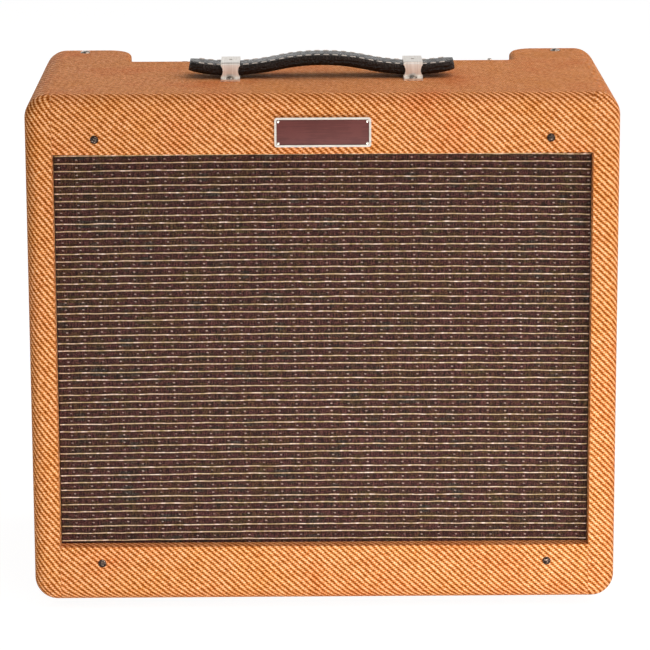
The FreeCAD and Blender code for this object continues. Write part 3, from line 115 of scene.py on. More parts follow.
def looked_at(tree):
    """One for what the eye sees, also in mirrors and through glass, and zero for light cast."""
    path = add(tree, "LightPath").node.outputs
    seen = add(tree, "Math", {0: path["Is Camera Ray"], 1: path["Is Glossy Ray"]}, operation="MAXIMUM")
    return add(tree, "Math", {0: seen, 1: path["Is Transmission Ray"]}, operation="MAXIMUM")


# Matt paper scatters evenly, so it shows only the soft shadow under the cabinet. Eyes and
# mirrors see it a little brighter than the light alone would make it.
paper, tree = new_finish("matt_white_paper")
share = add(tree, "Math", {0: looked_at(tree), 1: 0.82}, operation="MULTIPLY")
lit = add(tree, "BsdfDiffuse", {"Color": linear("F0F0F0")})
glow = add(tree, "Emission", {"Color": linear("FFFFFF"), "Strength": 1.14})
add(tree, "OutputMaterial", {"Surface": add(tree, "MixShader", {0: share, 1: lit, 2: glow})})
FLOOR_REACH = 9.0
corners = [(x * FLOOR_REACH, y * FLOOR_REACH, -0.0002) for x, y in ((-1, -1), (1, -1), (1, 1), (-1, 1))]
floor = outline_mesh("floor", corners, [(0, 1, 2, 3)])
floor.data.materials.append(paper)

world = bpy.data.worlds.new("white_studio")
bpy.context.scene.world = world
world.use_nodes = True
tree = world.node_tree
tree.nodes.clear()
seen = looked_at(tree)
way = add(tree, "SeparateXYZ", {0: add(tree, "TexCoord")}, out=2)
fill = add(tree, "Background", {"Color": linear("FFFFFF"), "Strength": 0.36})
overhead = add(tree, "MapRange", {0: way, 1: 0.08, 2: 0.7, 3: 1.0, 4: 0.3})
white = add(tree, "Background", {"Color": linear("FFFFFF"), "Strength": overhead})
add(tree, "OutputWorld", {"Surface": add(tree, "MixShader", {0: seen, 1: fill, 2: white})})


def soft_lamp(name, spot, aim, width, height, power, colour="FFFFFF"):
    """A softbox that looks at a point and lights it without being seen itself."""
    lamp = bpy.data.lights.new(name, "AREA")
    lamp.shape = "RECTANGLE"
    lamp.size = width
    lamp.size_y = height
    lamp.energy = power
    lamp.color = linear(colour)[:3]
    thing = bpy.data.objects.new(name, lamp)
    thing.visible_camera = False
    thing.location = spot
    thing.rotation_euler = (Vector(aim) - Vector(spot)).to_track_quat("-Z", "Y").to_euler()
    bpy.context.collection.objects.link(thing)


soft_lamp("low_strip_softbox", (0.22, -0.62, 0.08), (0.22, 0, 0.08), 1.0, 0.14, 3.25)
soft_lamp("front_right_softbox", (0.9, -2.4, 0.9), (0, 0, 0.2), 0.5, 0.5, 4.5)
soft_lamp("back_softbox", (-0.9, 2.2, 1.1), (0, 0, 0.2), 1.2, 1.2, 7)
soft_lamp("high_softbox", (1.2, -0.3, 1.9), (0, 0, 0.3), 2.4, 2.4, 34, "FFEBE2")
bpy.context.scene.view_settings.view_transform = "Standard"

# ---- camera -----------------------------------------------------------------------------
# A long lens stands some two metres in front of the cabinet and a little above it. It looks
# almost square on, so that the uprights stay nearly parallel.
CAMERA_SPOT = (-0.018, -2.260, 0.807)
LOOK_DOWN = 15.04
LOOK_RIGHT = 0.508
CAMERA_ROLL = -0.2

camera_data = bpy.data.cameras.new("camera")
camera_data.sensor_width = 36
camera_data.lens = 159.7
camera_data.clip_end = 50
camera = bpy.data.objects.new("camera", camera_data)
turned = Matrix.Rotation(math.radians(-LOOK_RIGHT), 4, "Z")
tipped = Matrix.Rotation(math.radians(90 - LOOK_DOWN), 4, "X")
rolled = Matrix.Rotation(math.radians(CAMERA_ROLL), 4, "Z")
camera.matrix_world = Matrix.Translation(CAMERA_SPOT) @ (turned @ tipped @ rolled)
bpy.context.collection.objects.link(camera)
bpy.context.scene.camera = camera

# ---- pine boards ------------------------------------------------------------------------
# The cabinet is glued up from 19 mm pine with finger joints at its corners and left bare
# inside. Planed softwood has long pale grain with darker late wood, and is almost matt.

GRAIN_WIDTH = 0.0035


def planed_pine(name, across):
    """Pine whose grain runs along the axis where across is small."""
    material, tree = new_finish(name)
    spot = add(tree, "TexCoord", out=3)
    along = add(tree, "Mapping", {0: spot, "Scale": across})
    warp = add(tree, "TexNoise", {"Vector": along, "Scale": 5.0, "Detail": 2.0}, out=1)
    bent = add(tree, "VectorMath", {0: along, 1: warp}, operation="ADD")
    rings = add(
        tree, "TexNoise", {"Vector": bent, "Scale": 0.12 / GRAIN_WIDTH, "Detail": 7.0, "Roughness": 0.62})
    fibre = add(tree, "TexNoise", {"Vector": along, "Scale": 1 / 0.0009, "Detail": 2.0})
    wood = add(tree, "ValToRGB", {0: rings}, stops=((0.3, "A8743F"), (0.47, "CFA36A"), (0.62, "E2BF8A")))
    flecked = add(
        tree, "Mix", {0: fibre, 6: linear("E9D9C4"), 7: linear("FFFFFF")}, out=2, data_type="RGBA")
    wood = add(tree, "Mix", {0: 0.8, 6: wood, 7: flecked}, out=2, data_type="RGBA", blend_type="MULTIPLY")
    bump = add(tree, "Bump", {"Height": fibre, "Strength": 0.25, "Distance": 0.0003})
    shader = add(tree, "BsdfPrincipled", {"Base Color": wood, "Roughness": 0.66, "Normal": bump})
    add(tree, "OutputMaterial", {"Surface": shader})
    return material


def give_finish(name, material):
    """Gives a CAD node its material."""
    data = nodes[name].data
    data.materials.clear()
    data.materials.append(material)


pine_across = planed_pine("planed_pine_along_the_width", (0.06, 1.0, 1.0))
pine_upright = planed_pine("planed_pine_along_the_height", (1.0, 1.0, 0.06))
for name in ("top_board", "bottom_board", "front_rail_upper", "front_rail_lower"):
    give_finish(name, pine_across)
for name in ("side_board_left", "side_board_right", "back_cleats"):
    give_finish(name, pine_upright)

# ---- tweed covering ---------------------------------------------------------------------
# Cotton twill is glued over the outside of the boards and lacquered amber. Straw-coloured
# cords of twisted yarn run down to the right with dark grooves between. The side pieces turn on
# to the front and the top, and meet the upper and lower strips there in butt seams.

DEPTH = 0.240
LEAN = math.radians(4)
FRONT_ROUND = 0.011
SEAM_FRONT = 0.2075
SEAM_TOP = 0.2135
CORD_PITCH = 0.00349
CORD_DRIFT = 0.0013
BEAD_PITCH = 0.0020
CORD_ANGLE = 42
LEFT_SIDE_ANGLE = 50
RIGHT_SIDE_ANGLE = 44
cloth_low, cloth_high = (Vector(corner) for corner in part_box("tweed_covering"))
front_y = cloth_high.y - DEPTH
foot_z = cloth_low.z

# Lacquer soaks into the cloth, so it is almost matt and uneven amber, and the grooves stay deep
# brown. The yarn's twist shows as bright beads of uneven size, drawn coarser than in real cloth.
tweed, tree = new_finish("lacquered_cotton_tweed")
x, y, z = add(tree, "SeparateXYZ", {0: add(tree, "TexCoord", out=3)}).node.outputs
nx, _, nz = add(tree, "SeparateXYZ", {0: add(tree, "NewGeometry", out=1)}).node.outputs

# The cloth is unrolled: how far back a point lies behind the leaning front, along the cloth.
leaning = add(tree, "Math", {0: z, 1: -math.tan(LEAN), 2: foot_z * math.tan(LEAN) - front_y},
    operation="MULTIPLY_ADD")
behind = add(tree, "Math", {0: add(tree, "Math", {0: y, 1: leaning}), 1: 0.0}, operation="MAXIMUM")
rolled = add(tree, "Math", {0: behind, 1: FRONT_ROUND}, operation="DIVIDE", use_clamp=True)
turn = add(
    tree, "Math", {0: add(tree, "Math", {0: 1.0, 1: rolled}, operation="SUBTRACT")}, operation="ARCCOSINE")
slack = add(
    tree, "Math", {0: turn, 1: add(tree, "Math", {0: turn}, operation="SINE")}, operation="SUBTRACT")
past = add(tree, "Math", {0: behind, 1: FRONT_ROUND}, operation="SUBTRACT")
past = add(tree, "Math", {0: past, 1: 0.0}, operation="MAXIMUM")
wrap = add(tree, "Math", {0: slack, 1: FRONT_ROUND, 2: past}, operation="MULTIPLY_ADD")

# Side pieces carry on round the corners in depth, and the strips carry on over the top.
on_top = add(tree, "Math", {0: behind, 1: FRONT_ROUND * 0.8}, operation="GREATER_THAN")
seam = add(tree, "Math", {0: on_top, 1: SEAM_TOP - SEAM_FRONT, 2: SEAM_FRONT}, operation="MULTIPLY_ADD")
off_seam = add(
    tree, "Math", {0: add(tree, "Math", {0: x}, operation="ABSOLUTE"), 1: seam}, operation="SUBTRACT")
side = add(tree, "Math", {0: off_seam, 1: 0.0}, operation="GREATER_THAN")
strip = add(tree, "Math", {0: 1.0, 1: side}, operation="SUBTRACT")
hand = add(tree, "Math", {0: x}, operation="SIGN")
side_wrap = add(tree, "Math", {0: hand, 1: side}, operation="MULTIPLY")
across = add(tree, "Math", {0: side_wrap, 1: wrap, 2: x}, operation="MULTIPLY_ADD")
upright = add(
    tree, "Math", {0: add(tree, "Math", {0: nz}, operation="ABSOLUTE"), 1: 0.5}, operation="LESS_THAN")
upright = add(tree, "Math", {0: upright, 1: on_top}, operation="MULTIPLY")
over_edge = add(tree, "Math", {0: strip, 1: upright}, operation="MULTIPLY")
flat_strip = add(tree, "Math", {0: strip, 1: over_edge}, operation="SUBTRACT")
top_wrap = add(
    tree, "Math", {0: add(tree, "Math", {0: nz}, operation="SIGN"), 1: flat_strip}, operation="MULTIPLY")
up = add(tree, "Math", {0: top_wrap, 1: wrap, 2: z}, operation="MULTIPLY_ADD")

# Behind, the strips turn down over the back edge and in round the ends of the panel's recess.
end_turn = add(
    tree, "Math", {0: add(tree, "Math", {0: nx}, operation="SIGN"), 1: over_edge}, operation="MULTIPLY")
from_back = add(tree, "Math", {0: cloth_high.y, 1: y}, operation="SUBTRACT")
across = add(tree, "Math", {0: end_turn, 1: from_back, 2: across}, operation="MULTIPLY_ADD")
mean_turn = math.radians((RIGHT_SIDE_ANGLE + LEFT_SIDE_ANGLE) / 2 - CORD_ANGLE)
half_turn = math.radians((RIGHT_SIDE_ANGLE - LEFT_SIDE_ANGLE) / 2)
angle = add(tree, "Math", {0: side, 1: mean_turn, 2: math.radians(CORD_ANGLE)}, operation="MULTIPLY_ADD")
angle = add(tree, "Math", {0: side_wrap, 1: half_turn, 2: angle}, operation="MULTIPLY_ADD")
sine = add(tree, "Math", {0: angle}, operation="SINE")
cosine = add(tree, "Math", {0: angle}, operation="COSINE")

# Hand-laid cloth is never quite straight, so the cords drift a little.
lain = add(tree, "CombineXYZ", {0: across, 1: up, 2: side_wrap})
drift = add(tree, "TexNoise", {"Vector": lain, "Scale": 30.0, "Detail": 3.0, "Roughness": 0.6})
drift = add(tree, "Math", {0: drift, 1: 2 * CORD_DRIFT, 2: -CORD_DRIFT}, operation="MULTIPLY_ADD")
over = add(tree, "Math", {0: up, 1: cosine, 2: drift}, operation="MULTIPLY_ADD")
over = add(tree, "Math", {0: across, 1: sine, 2: over}, operation="MULTIPLY_ADD")
down = add(tree, "Math", {0: up, 1: sine}, operation="MULTIPLY")
along = add(tree, "Math", {0: add(tree, "Math", {0: across, 1: cosine}, operation="MULTIPLY"), 1: down},
    operation="SUBTRACT")
cord = add(tree, "Math", {0: over, 1: 1 / CORD_PITCH}, operation="MULTIPLY")
wave = add(tree, "Math", {0: cord, 1: 2 * math.pi, 2: -math.pi}, operation="MULTIPLY_ADD")
profile = add(tree, "Math", {0: add(tree, "Math", {0: wave}, operation="COSINE"), 1: 0.5, 2: 0.5},
    operation="MULTIPLY_ADD")

# Each cord is two rows of beads, one for each turn of the yarn's twist, and the rows are half a
# bead apart. Every bead has a brightness of its own.
uneven = add(tree, "TexNoise", {"Vector": lain, "Scale": 1 / 0.0030, "Detail": 1.0})
ply = add(tree, "Math", {0: along, 1: 1 / BEAD_PITCH, 2: add(tree, "Math", {0: uneven, 1: 0.9},
    operation="MULTIPLY")}, operation="MULTIPLY_ADD")
which = add(tree, "CombineXYZ", {0: add(tree, "Math", {0: cord, 1: 2.0}, operation="MULTIPLY"), 1: ply,
    2: side_wrap})
which = add(tree, "VectorMath", {0: which}, operation="FLOOR")
luck = add(tree, "TexWhiteNoise", {"Vector": which}, out=0)
steep = add(tree, "Math", {0: add(tree, "Math", {0: ply, 1: cord}, operation="SUBTRACT"), 1: 2 * math.pi},
    operation="MULTIPLY")
gentle = add(tree, "Math", {0: add(tree, "Math", {0: ply, 1: cord}), 1: 2 * math.pi}, operation="MULTIPLY")
gentle = add(
    tree, "Math", {0: add(tree, "Math", {0: gentle}, operation="COSINE"), 1: 0.5}, operation="MULTIPLY")
bead = add(tree, "Math", {0: add(tree, "Math", {0: steep}, operation="COSINE"), 1: gentle})
hairs = add(tree, "TexNoise", {"Vector": lain, "Scale": 1 / 0.0016, "Detail": 2.0, "Roughness": 0.75})
height = add(tree, "Math", {0: bead, 1: 0.16, 2: add(tree, "Math", {0: profile, 1: 0.62, 2: 0.10},
    operation="MULTIPLY_ADD")}, operation="MULTIPLY_ADD")
height = add(tree, "Math", {0: luck, 1: 0.24, 2: add(tree, "Math", {0: height, 1: 0.12},
    operation="SUBTRACT")}, operation="MULTIPLY_ADD")
height = add(tree, "Math", {0: add(tree, "Math", {0: hairs, 1: 0.5}, operation="SUBTRACT"), 1: 0.7,
    2: height}, operation="MULTIPLY_ADD")
yarn = add(tree, "ValToRGB", {0: height}, stops=(
    (0.06, "7E4012"), (0.24, "A85E28"), (0.44, "D48C4E"), (0.66, "F0B078"), (0.92, "F8D4B0")))
lacquer = add(tree, "TexNoise", {"Vector": lain, "Scale": 16.0, "Detail": 4.0, "Roughness": 0.6})
tint = add(tree, "ValToRGB", {0: lacquer}, stops=((0.32, "F8CCB0"), (0.5, "FFF6EE"), (0.68, "F8E6BA")))
colour = add(tree, "Mix", {0: 0.6, 6: yarn, 7: tint}, out=2, data_type="RGBA", blend_type="MULTIPLY")
joint = add(tree, "Math", {0: add(tree, "Math", {0: off_seam}, operation="ABSOLUTE"), 1: 0.0006},
    operation="LESS_THAN")
joint = add(tree, "Math", {0: joint, 1: 0.22}, operation="MULTIPLY")
colour = add(tree, "Mix", {0: joint, 6: colour, 7: linear("A8683A")}, out=2, data_type="RGBA")
bump = add(tree, "Bump", {"Height": height, "Strength": 0.36, "Distance": 0.0007})
shader = add(tree, "BsdfPrincipled", {
    "Base Color": colour, "Roughness": 0.62, "Normal": bump, "Specular IOR Level": 0.02})
add(tree, "OutputMaterial", {"Surface": shader})
give_finish("tweed_covering", tweed)

# ---- baffle board -----------------------------------------------------------------------
# The baffle is 12 mm birch plywood, sprayed dark brown so that it does not show through the
# cloth stretched over it. Thin paint leaves the grain a little raised.
shades = ((0.3, "1C1714"), (0.7, "2E2620"))
give_finish(
    "baffle_board", mottled("dark_sprayed_plywood", 220.0, 5.0, shades, 0.7, (0.2, 0.0004), (0.1, 1, 1)))

# ---- grille cloth -----------------------------------------------------------------------
# Oxblood grille cloth is stretched over the baffle and turned over its edges, with its
# corners cut away. Raised gold cords run across the brown weave, with small pale tufts every
# 13.6 mm between them, and the threads between are redder, greener and greyer in patches.

GOLD_SPACING = 0.00588
FIRST_GOLD = 0.3464
GOLD_BOW = 0.0012
GOLD_WIDTH = 0.00085
GOLD_HEIGHT = 0.00030
TUFT_SPACING = 0.0136
THREAD = 0.0012
CLOTH_FACE = 0.0134
CLOTH_TURN = 0.0115


def front_point(x, inward, up):
    """A place on the leaning front: across, in from its face, and up along it."""
    back = front_y + inward * math.cos(LEAN) + up * math.sin(LEAN)
    return Vector((x, back, foot_z + up * math.cos(LEAN) - inward * math.sin(LEAN)))


def finish(piece, material, body, slot, *replaced, sharp=35):
    """Gives a piece its material and smooth shading, and fixes it to a body of the frame."""
    piece.data.materials.clear()
    piece.data.materials.append(material)
    piece.data.shade_smooth()
    piece.data.set_sharp_from_angle(angle=math.radians(sharp))
    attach(piece, body)
    if replaced:
        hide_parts(*replaced)


grille_low, grille_high = (Vector(corner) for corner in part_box("grille_cloth"))
half_cloth = grille_high.x - 0.0004
cloth_bottom = (grille_low.z - foot_z) / math.cos(LEAN) + 0.026 * math.tan(LEAN) + 0.0004
cloth_top = (grille_high.z - foot_z) / math.cos(LEAN) + 0.013 * math.tan(LEAN) - 0.0004
across = [(-half_cloth, CLOTH_FACE + CLOTH_TURN), (-half_cloth, CLOTH_FACE + 0.005),
    (-half_cloth, CLOTH_FACE + 0.0012)]
across += [(-half_cloth + 0.0006 + (half_cloth - 0.0006) * k / 32, CLOTH_FACE) for k in range(33)]
across += [(-x, inward) for x, inward in reversed(across[:-1])]
upright = [(cloth_bottom, CLOTH_FACE + CLOTH_TURN, 0), (cloth_bottom, CLOTH_FACE + 0.005, 0),
    (cloth_bottom, CLOTH_FACE + 0.0012, 0)]
first_row = int((cloth_bottom - FIRST_GOLD) / GOLD_SPACING) + 1
last_row = int((cloth_top - FIRST_GOLD) / GOLD_SPACING)
for row in range(first_row, last_row + 1):
    middle = FIRST_GOLD + row * GOLD_SPACING
    for off, rise in ((-0.5, 0), (-0.09, 0), (-0.05, 0.75), (0, 1), (0.05, 0.75), (0.09, 0)):
        upright.append((middle + off * GOLD_SPACING, CLOTH_FACE, rise))
upright = [
    row for row in upright
    if row[0] < cloth_top - 0.001 and (row[1] > CLOTH_FACE or row[0] > cloth_bottom + 0.0008)]
upright += [(cloth_top, CLOTH_FACE + 0.0012, 0), (cloth_top, CLOTH_FACE + 0.005, 0),
    (cloth_top, CLOTH_FACE + CLOTH_TURN, 0)]
points, faces = [], []
for up, in_up, rise in upright:
    for x, in_across in across:
        flat = in_up == CLOTH_FACE and in_across == CLOTH_FACE
        bow = GOLD_BOW * (1 - (x / half_cloth) ** 2) if flat else 0
        points.append(front_point(x, max(in_up, in_across) - (rise * GOLD_HEIGHT if flat else 0), up + bow))
for j in range(len(upright) - 1):
    for k in range(len(across) - 1):
        edge_j = max(upright[j][1], upright[j + 1][1]) > CLOTH_FACE
        edge_k = max(across[k][1], across[k + 1][1]) > CLOTH_FACE
        if not (edge_j and edge_k):
            first = j * len(across) + k
            faces.append((first, first + 1, first + 1 + len(across), first + len(across)))
grille = outline_mesh("stretched_grille_cloth", points, faces)
shape = bmesh.new()
shape.from_mesh(grille.data)
bmesh.ops.delete(shape, geom=[corner for corner in shape.verts if not corner.link_faces], context="VERTS")
shape.to_mesh(grille.data)
shape.free()

# Cotton and paper yarn, woven open and dull. The gold cord has a dull metal thread in it
# that shows as brighter flecks, and a dark line of painted shade runs along each side of it.
woven, tree = new_finish("woven_oxblood_grille_cloth")
x, _, z = add(tree, "SeparateXYZ", {0: add(tree, "TexCoord", out=3)}).node.outputs
up = add(tree, "Math", {0: z, 1: 1 / math.cos(LEAN),
    2: CLOTH_FACE * math.tan(LEAN) - foot_z / math.cos(LEAN) - FIRST_GOLD}, operation="MULTIPLY_ADD")
outward = add(tree, "Math", {0: add(tree, "Math", {0: x, 1: 1 / half_cloth}, operation="MULTIPLY"), 1: 2.0},
    operation="POWER")
up = add(tree, "Math", {0: outward, 1: GOLD_BOW, 2: add(tree, "Math", {0: up, 1: GOLD_BOW},
    operation="SUBTRACT")}, operation="MULTIPLY_ADD")
flat = add(tree, "CombineXYZ", {0: x, 1: up})
sway = add(tree, "TexNoise", {"Vector": flat, "Scale": 62.0, "Detail": 2.0})
sway = add(
    tree, "Math", {0: sway, 1: 0.0012 / GOLD_SPACING, 2: -0.0006 / GOLD_SPACING}, operation="MULTIPLY_ADD")
row = add(tree, "Math", {0: up, 1: 1 / GOLD_SPACING, 2: add(tree, "Math", {0: sway, 1: 0.5})},
    operation="MULTIPLY_ADD")
number = add(tree, "Math", {0: row}, operation="FLOOR")
off = add(tree, "Math", {0: add(tree, "Math", {0: row}, operation="FRACT"), 1: 0.5}, operation="SUBTRACT")
off = add(tree, "Math", {0: off}, operation="ABSOLUTE")

# The threads of warp and weft are 0.6 mm apart, and are drawn twice as coarse to show.
warp = add(tree, "TexNoise", {"Vector": add(tree, "Mapping", {0: flat, "Scale": (1, 0.16, 1)}),
    "Scale": 1 / THREAD, "Detail": 1.0, "Roughness": 0.6})
weft = add(tree, "TexNoise", {"Vector": add(tree, "Mapping", {0: flat, "Scale": (0.3, 1, 1)}),
    "Scale": 1 / THREAD, "Detail": 1.0, "Roughness": 0.6})
rough = add(tree, "TexNoise", {"Vector": flat, "Scale": 1 / THREAD, "Detail": 2.0, "Roughness": 0.7})
threads = add(tree, "Math", {0: warp, 1: 0.66, 2: add(tree, "Math", {0: weft, 1: 0.34},
    operation="MULTIPLY")}, operation="MULTIPLY_ADD")
threads = add(tree, "Math", {0: add(tree, "Math", {0: rough, 1: 0.5}, operation="SUBTRACT"), 1: 0.9,
    2: threads}, operation="MULTIPLY_ADD")
bands = add(tree, "CombineXYZ", {0: add(tree, "Math", {0: x, 1: 55.0}, operation="MULTIPLY"),
    1: add(tree, "Math", {0: number, 1: 1.7}, operation="MULTIPLY")})
hue = add(tree, "TexNoise", {"Vector": bands, "Scale": 1.0, "Detail": 2.5})
ground = add(tree, "ValToRGB", {0: hue}, stops=((0.30, "56462C"), (0.42, "5A3C2A"), (0.52, "5C3634"),
    (0.62, "503A2C"), (0.70, "4A423C")))
weave = add(tree, "ValToRGB", {0: threads}, stops=((0.34, "2A1C16"), (0.5, "A08E84"), (0.66, "FFFFFF")))
ground = add(tree, "Mix", {0: 0.9, 6: ground, 7: weave}, out=2, data_type="RGBA", blend_type="MULTIPLY")
# Painted shade: a dark line along each side of every gold cord.
shade = add(tree, "Math", {0: off, 1: 0.19}, operation="LESS_THAN")
shade = add(tree, "Math", {0: shade, 1: 0.7}, operation="MULTIPLY")
ground = add(tree, "Mix", {0: shade, 6: ground, 7: linear("26140C")}, out=2, data_type="RGBA")
dashes = add(tree, "CombineXYZ", {0: add(tree, "Math", {0: x, 1: 210.0}, operation="MULTIPLY"),
    1: add(tree, "Math", {0: number, 1: 5.3}, operation="MULTIPLY")})
dashes = add(tree, "TexNoise", {"Vector": dashes, "Scale": 1.0, "Detail": 3.0, "Roughness": 0.65})
gold = add(tree, "ValToRGB", {0: dashes}, stops=((0.3, "8C7850"), (0.44, "B49C74"), (0.56, "D0B49A"),
    (0.68, "F8E4D4")))
on_gold = add(tree, "Math", {0: off, 1: GOLD_WIDTH / GOLD_SPACING / 2}, operation="LESS_THAN")
cloth = add(tree, "Mix", {0: on_gold, 6: ground, 7: gold}, out=2, data_type="RGBA")

# A pale tuft shows midway between the cords, and shifts a little from row to row.
place = add(tree, "Math", {0: x, 1: 1 / TUFT_SPACING, 2: add(tree, "Math", {0: number, 1: 0.012, 2: 0.45},
    operation="MULTIPLY_ADD")}, operation="MULTIPLY_ADD")
beside = add(
    tree, "Math", {0: add(tree, "Math", {0: place}, operation="FRACT"), 1: 0.5}, operation="SUBTRACT")
beside = add(tree, "Math", {0: beside, 1: TUFT_SPACING / 0.0009}, operation="MULTIPLY")
above = add(tree, "Math", {0: add(tree, "Math", {0: 0.5, 1: off}, operation="SUBTRACT"),
    1: GOLD_SPACING / 0.0005}, operation="MULTIPLY")
far = add(
    tree, "VectorMath", {0: add(tree, "CombineXYZ", {0: beside, 1: above})}, out=1, operation="LENGTH")
tuft = add(tree, "Math", {0: far, 1: 1.0}, operation="LESS_THAN")
own = add(tree, "TexWhiteNoise", {"Vector": add(tree, "VectorMath",
    {0: add(tree, "CombineXYZ", {0: place, 1: number})}, operation="FLOOR")}, out=0)
tuft = add(tree, "Math", {0: tuft, 1: add(tree, "Math", {0: own, 1: 0.6, 2: 0.1},
    operation="MULTIPLY_ADD")}, operation="MULTIPLY")
cloth = add(tree, "Mix", {0: tuft, 6: cloth, 7: linear("C8B0A4")}, out=2, data_type="RGBA")
bump = add(tree, "Bump", {"Height": threads, "Strength": 0.5, "Distance": 0.0004})
shader = add(tree, "BsdfPrincipled", {"Base Color": cloth, "Roughness": 0.8, "Normal": bump,
    "Specular IOR Level": 0.2})
add(tree, "OutputMaterial", {"Surface": shader})
finish(grille, woven, "cabinet", "grille_cloth", "grille_cloth", sharp=60)

# ---- screws -----------------------------------------------------------------------------
# Every screw has a turned steel body with a driver slot or cross sunk into its head. The oval
# ones stand in pressed cup washers: dark ones hold the baffle, nickel ones with painted dark
# reflections the chassis and bright nickel ones the back panels. The handle's clips and the feet
# have round-topped ones.


def turned_mesh(name, profile, sides=32, ring=False):
    """A mesh turned round Z from points of radius and height, which may form a closed ring."""
    points, faces, rings = [], [], []
    for radius, height in profile:
        count = sides if radius > 0 else 1
        rings.append(range(len(points), len(points) + count))
        for k in range(count):
            turn = 2 * math.pi * k / sides
            points.append((radius * math.cos(turn), radius * math.sin(turn), height))
    for low, high in zip(rings, rings[1:] + rings[:1] if ring else rings[1:]):
        for k in range(sides):
            corners = [
                low[k % len(low)], low[(k + 1) % len(low)], high[(k + 1) % len(high)], high[k % len(high)]]
            faces.append(list(dict.fromkeys(corners)))
    return outline_mesh(name, points, faces)


def carve(thing, tool):
    """Cuts a tool's shape out of a mesh object, and removes the tool."""
    cutting = thing.modifiers.new("cutting", "BOOLEAN")
    cutting.object = tool
    cutting.solver = "EXACT"
    bpy.context.view_layer.update()
    carved = bpy.data.meshes.new_from_object(thing.evaluated_get(bpy.context.evaluated_depsgraph_get()))
    thing.modifiers.clear()
    thing.data = carved
    bpy.data.objects.remove(tool)


def object_from(name, shape):
    """A mesh object made from a shape, which is then freed."""
    mesh = bpy.data.meshes.new(name)
    shape.to_mesh(mesh)
    shape.free()
    thing = bpy.data.objects.new(name, mesh)
    bpy.context.collection.objects.link(thing)
    return thing


def block_mesh(name, low, high, edge=0.0):
    """A block between two corners, with its edges rounded."""
    shape = bmesh.new()
    bmesh.ops.create_cube(shape, size=1)
    middle = (Vector(low) + Vector(high)) / 2
    for corner in shape.verts:
        corner.co = Vector([m + c * (h - l) for m, c, l, h in zip(middle, corner.co, low, high)])
    if edge:
        bmesh.ops.bevel(shape, geom=shape.edges[:], offset=edge, segments=3, profile=0.5, affect="EDGES")
    return object_from(name, shape)


def set_of(name, patterns, places):
    """One object made of copies of some pattern objects at each place, without the patterns."""
    shape = bmesh.new()
    for place in places:
        for pattern in patterns:
            copy = pattern.data.copy()
            copy.transform(place)
            shape.from_mesh(copy)
            bpy.data.meshes.remove(copy)
    for pattern in patterns:
        bpy.data.objects.remove(pattern)
    return object_from(name, shape)


def facing(spot, way, turn=0.0):
    """A place whose Z looks a way, turned about it."""
    look = Vector(way).to_track_quat("Z", "Y").to_matrix().to_4x4()
    return Matrix.Translation(spot) @ look @ Matrix.Rotation(turn, 4, "Z")


def screw_patterns(head, shank, length, blades, oval=True):
    """A screw whose head stands up along Z over the work at zero, and its cup washer if oval."""
    lift = head - shank
    if oval:
        crown = [(head * math.cos(a), lift + head / 4 * math.sin(a))
            for a in (0, 0.3, 0.6, 0.9, 1.2)] + [(0, lift + head / 4)]
    else:
        crown = [(head, 0), (head, head * 0.2)] + [(head * math.cos(a), head * (0.2 + 0.36 * math.sin(a)))
            for a in (0.4, 0.8, 1.2)] + [(0, head * 0.56)]
    top = crown[-1][1]
    screw = turned_mesh("screw", [(0, -length), (shank * 0.5, -length + shank * 1.5),
        (shank, -length + shank * 3), (shank, 0)] + crown)
    for turn in blades:
        blade = block_mesh(
            "blade", (-head * 0.72, -head * 0.11, top - head * 0.3), (head * 0.72, head * 0.11, top + head))
        blade.data.transform(Matrix.Rotation(turn, 4, "Z"))
        carve(screw, blade)
    if not oval:
        return [screw]
    ring = [(shank + 0.0001, 0), (head + lift, 0), (head + lift * 0.96, lift * 0.3),
        (head + 0.0004, lift * 0.98), (head + 0.0001, lift)]
    return [screw, turned_mesh("cup", ring, ring=True)]


CROSS = (0.0, math.pi / 2)
SLOT = (0.0,)

# Oiled black steel: a thin oxide that is dark brown and glossy, worn to bare steel in specks.
shades = ((0.35, "2A211C"), (0.55, "4E4038"), (0.7, "A8988A"))
blued = mottled("blackened_steel", 900.0, 3.0, shades, (0.14, 0.34), metal=1.0)

# Bright nickel plate over brass or steel: warm, mirror-like, with fine wipe marks.
shades = ((0.3, "DAD2C8"), (0.7, "F0E8DE"))
nickel = mottled("bright_nickel_plate", 180.0, 3.0, shades, (0.14, 0.32), stretch=(1, 1, 12), metal=1.0)

# The nickel on the screws of the chassis and of the handle is painted a dark grey, as painted
# shade for the dark surroundings that the plate reflects; it glints only where a lamp shows in it.
shades = ((0.35, "6A625A"), (0.65, "B4ACA2"))
nickel_painted_dark_grey = mottled("nickel_plate_painted_dark_grey", 600.0, 2.0, shades, (0.1, 0.24), metal=1.0)

BAFFLE_SCREW_SIDE = 0.1747
BAFFLE_SCREW_LOW = 0.0317
BAFFLE_SCREW_HIGH = 0.3668
outward = front_point(0, -1, 0) - front_point(0, 0, 0)
spots = []
for side, up, turn in (
        (-1, BAFFLE_SCREW_LOW, 0.6), (1, BAFFLE_SCREW_LOW, 0.9),
        (-1, BAFFLE_SCREW_HIGH, 0.2), (1, BAFFLE_SCREW_HIGH, 1.1)):
    spots.append(facing(front_point(side * BAFFLE_SCREW_SIDE, 0, up), outward, turn))
baffle_screws = set_of("baffle_screw_set", screw_patterns(0.0024, 0.0015, 0.024, CROSS), spots)
finish(baffle_screws, blued, "cabinet", "dark_screws", "baffle_screws")

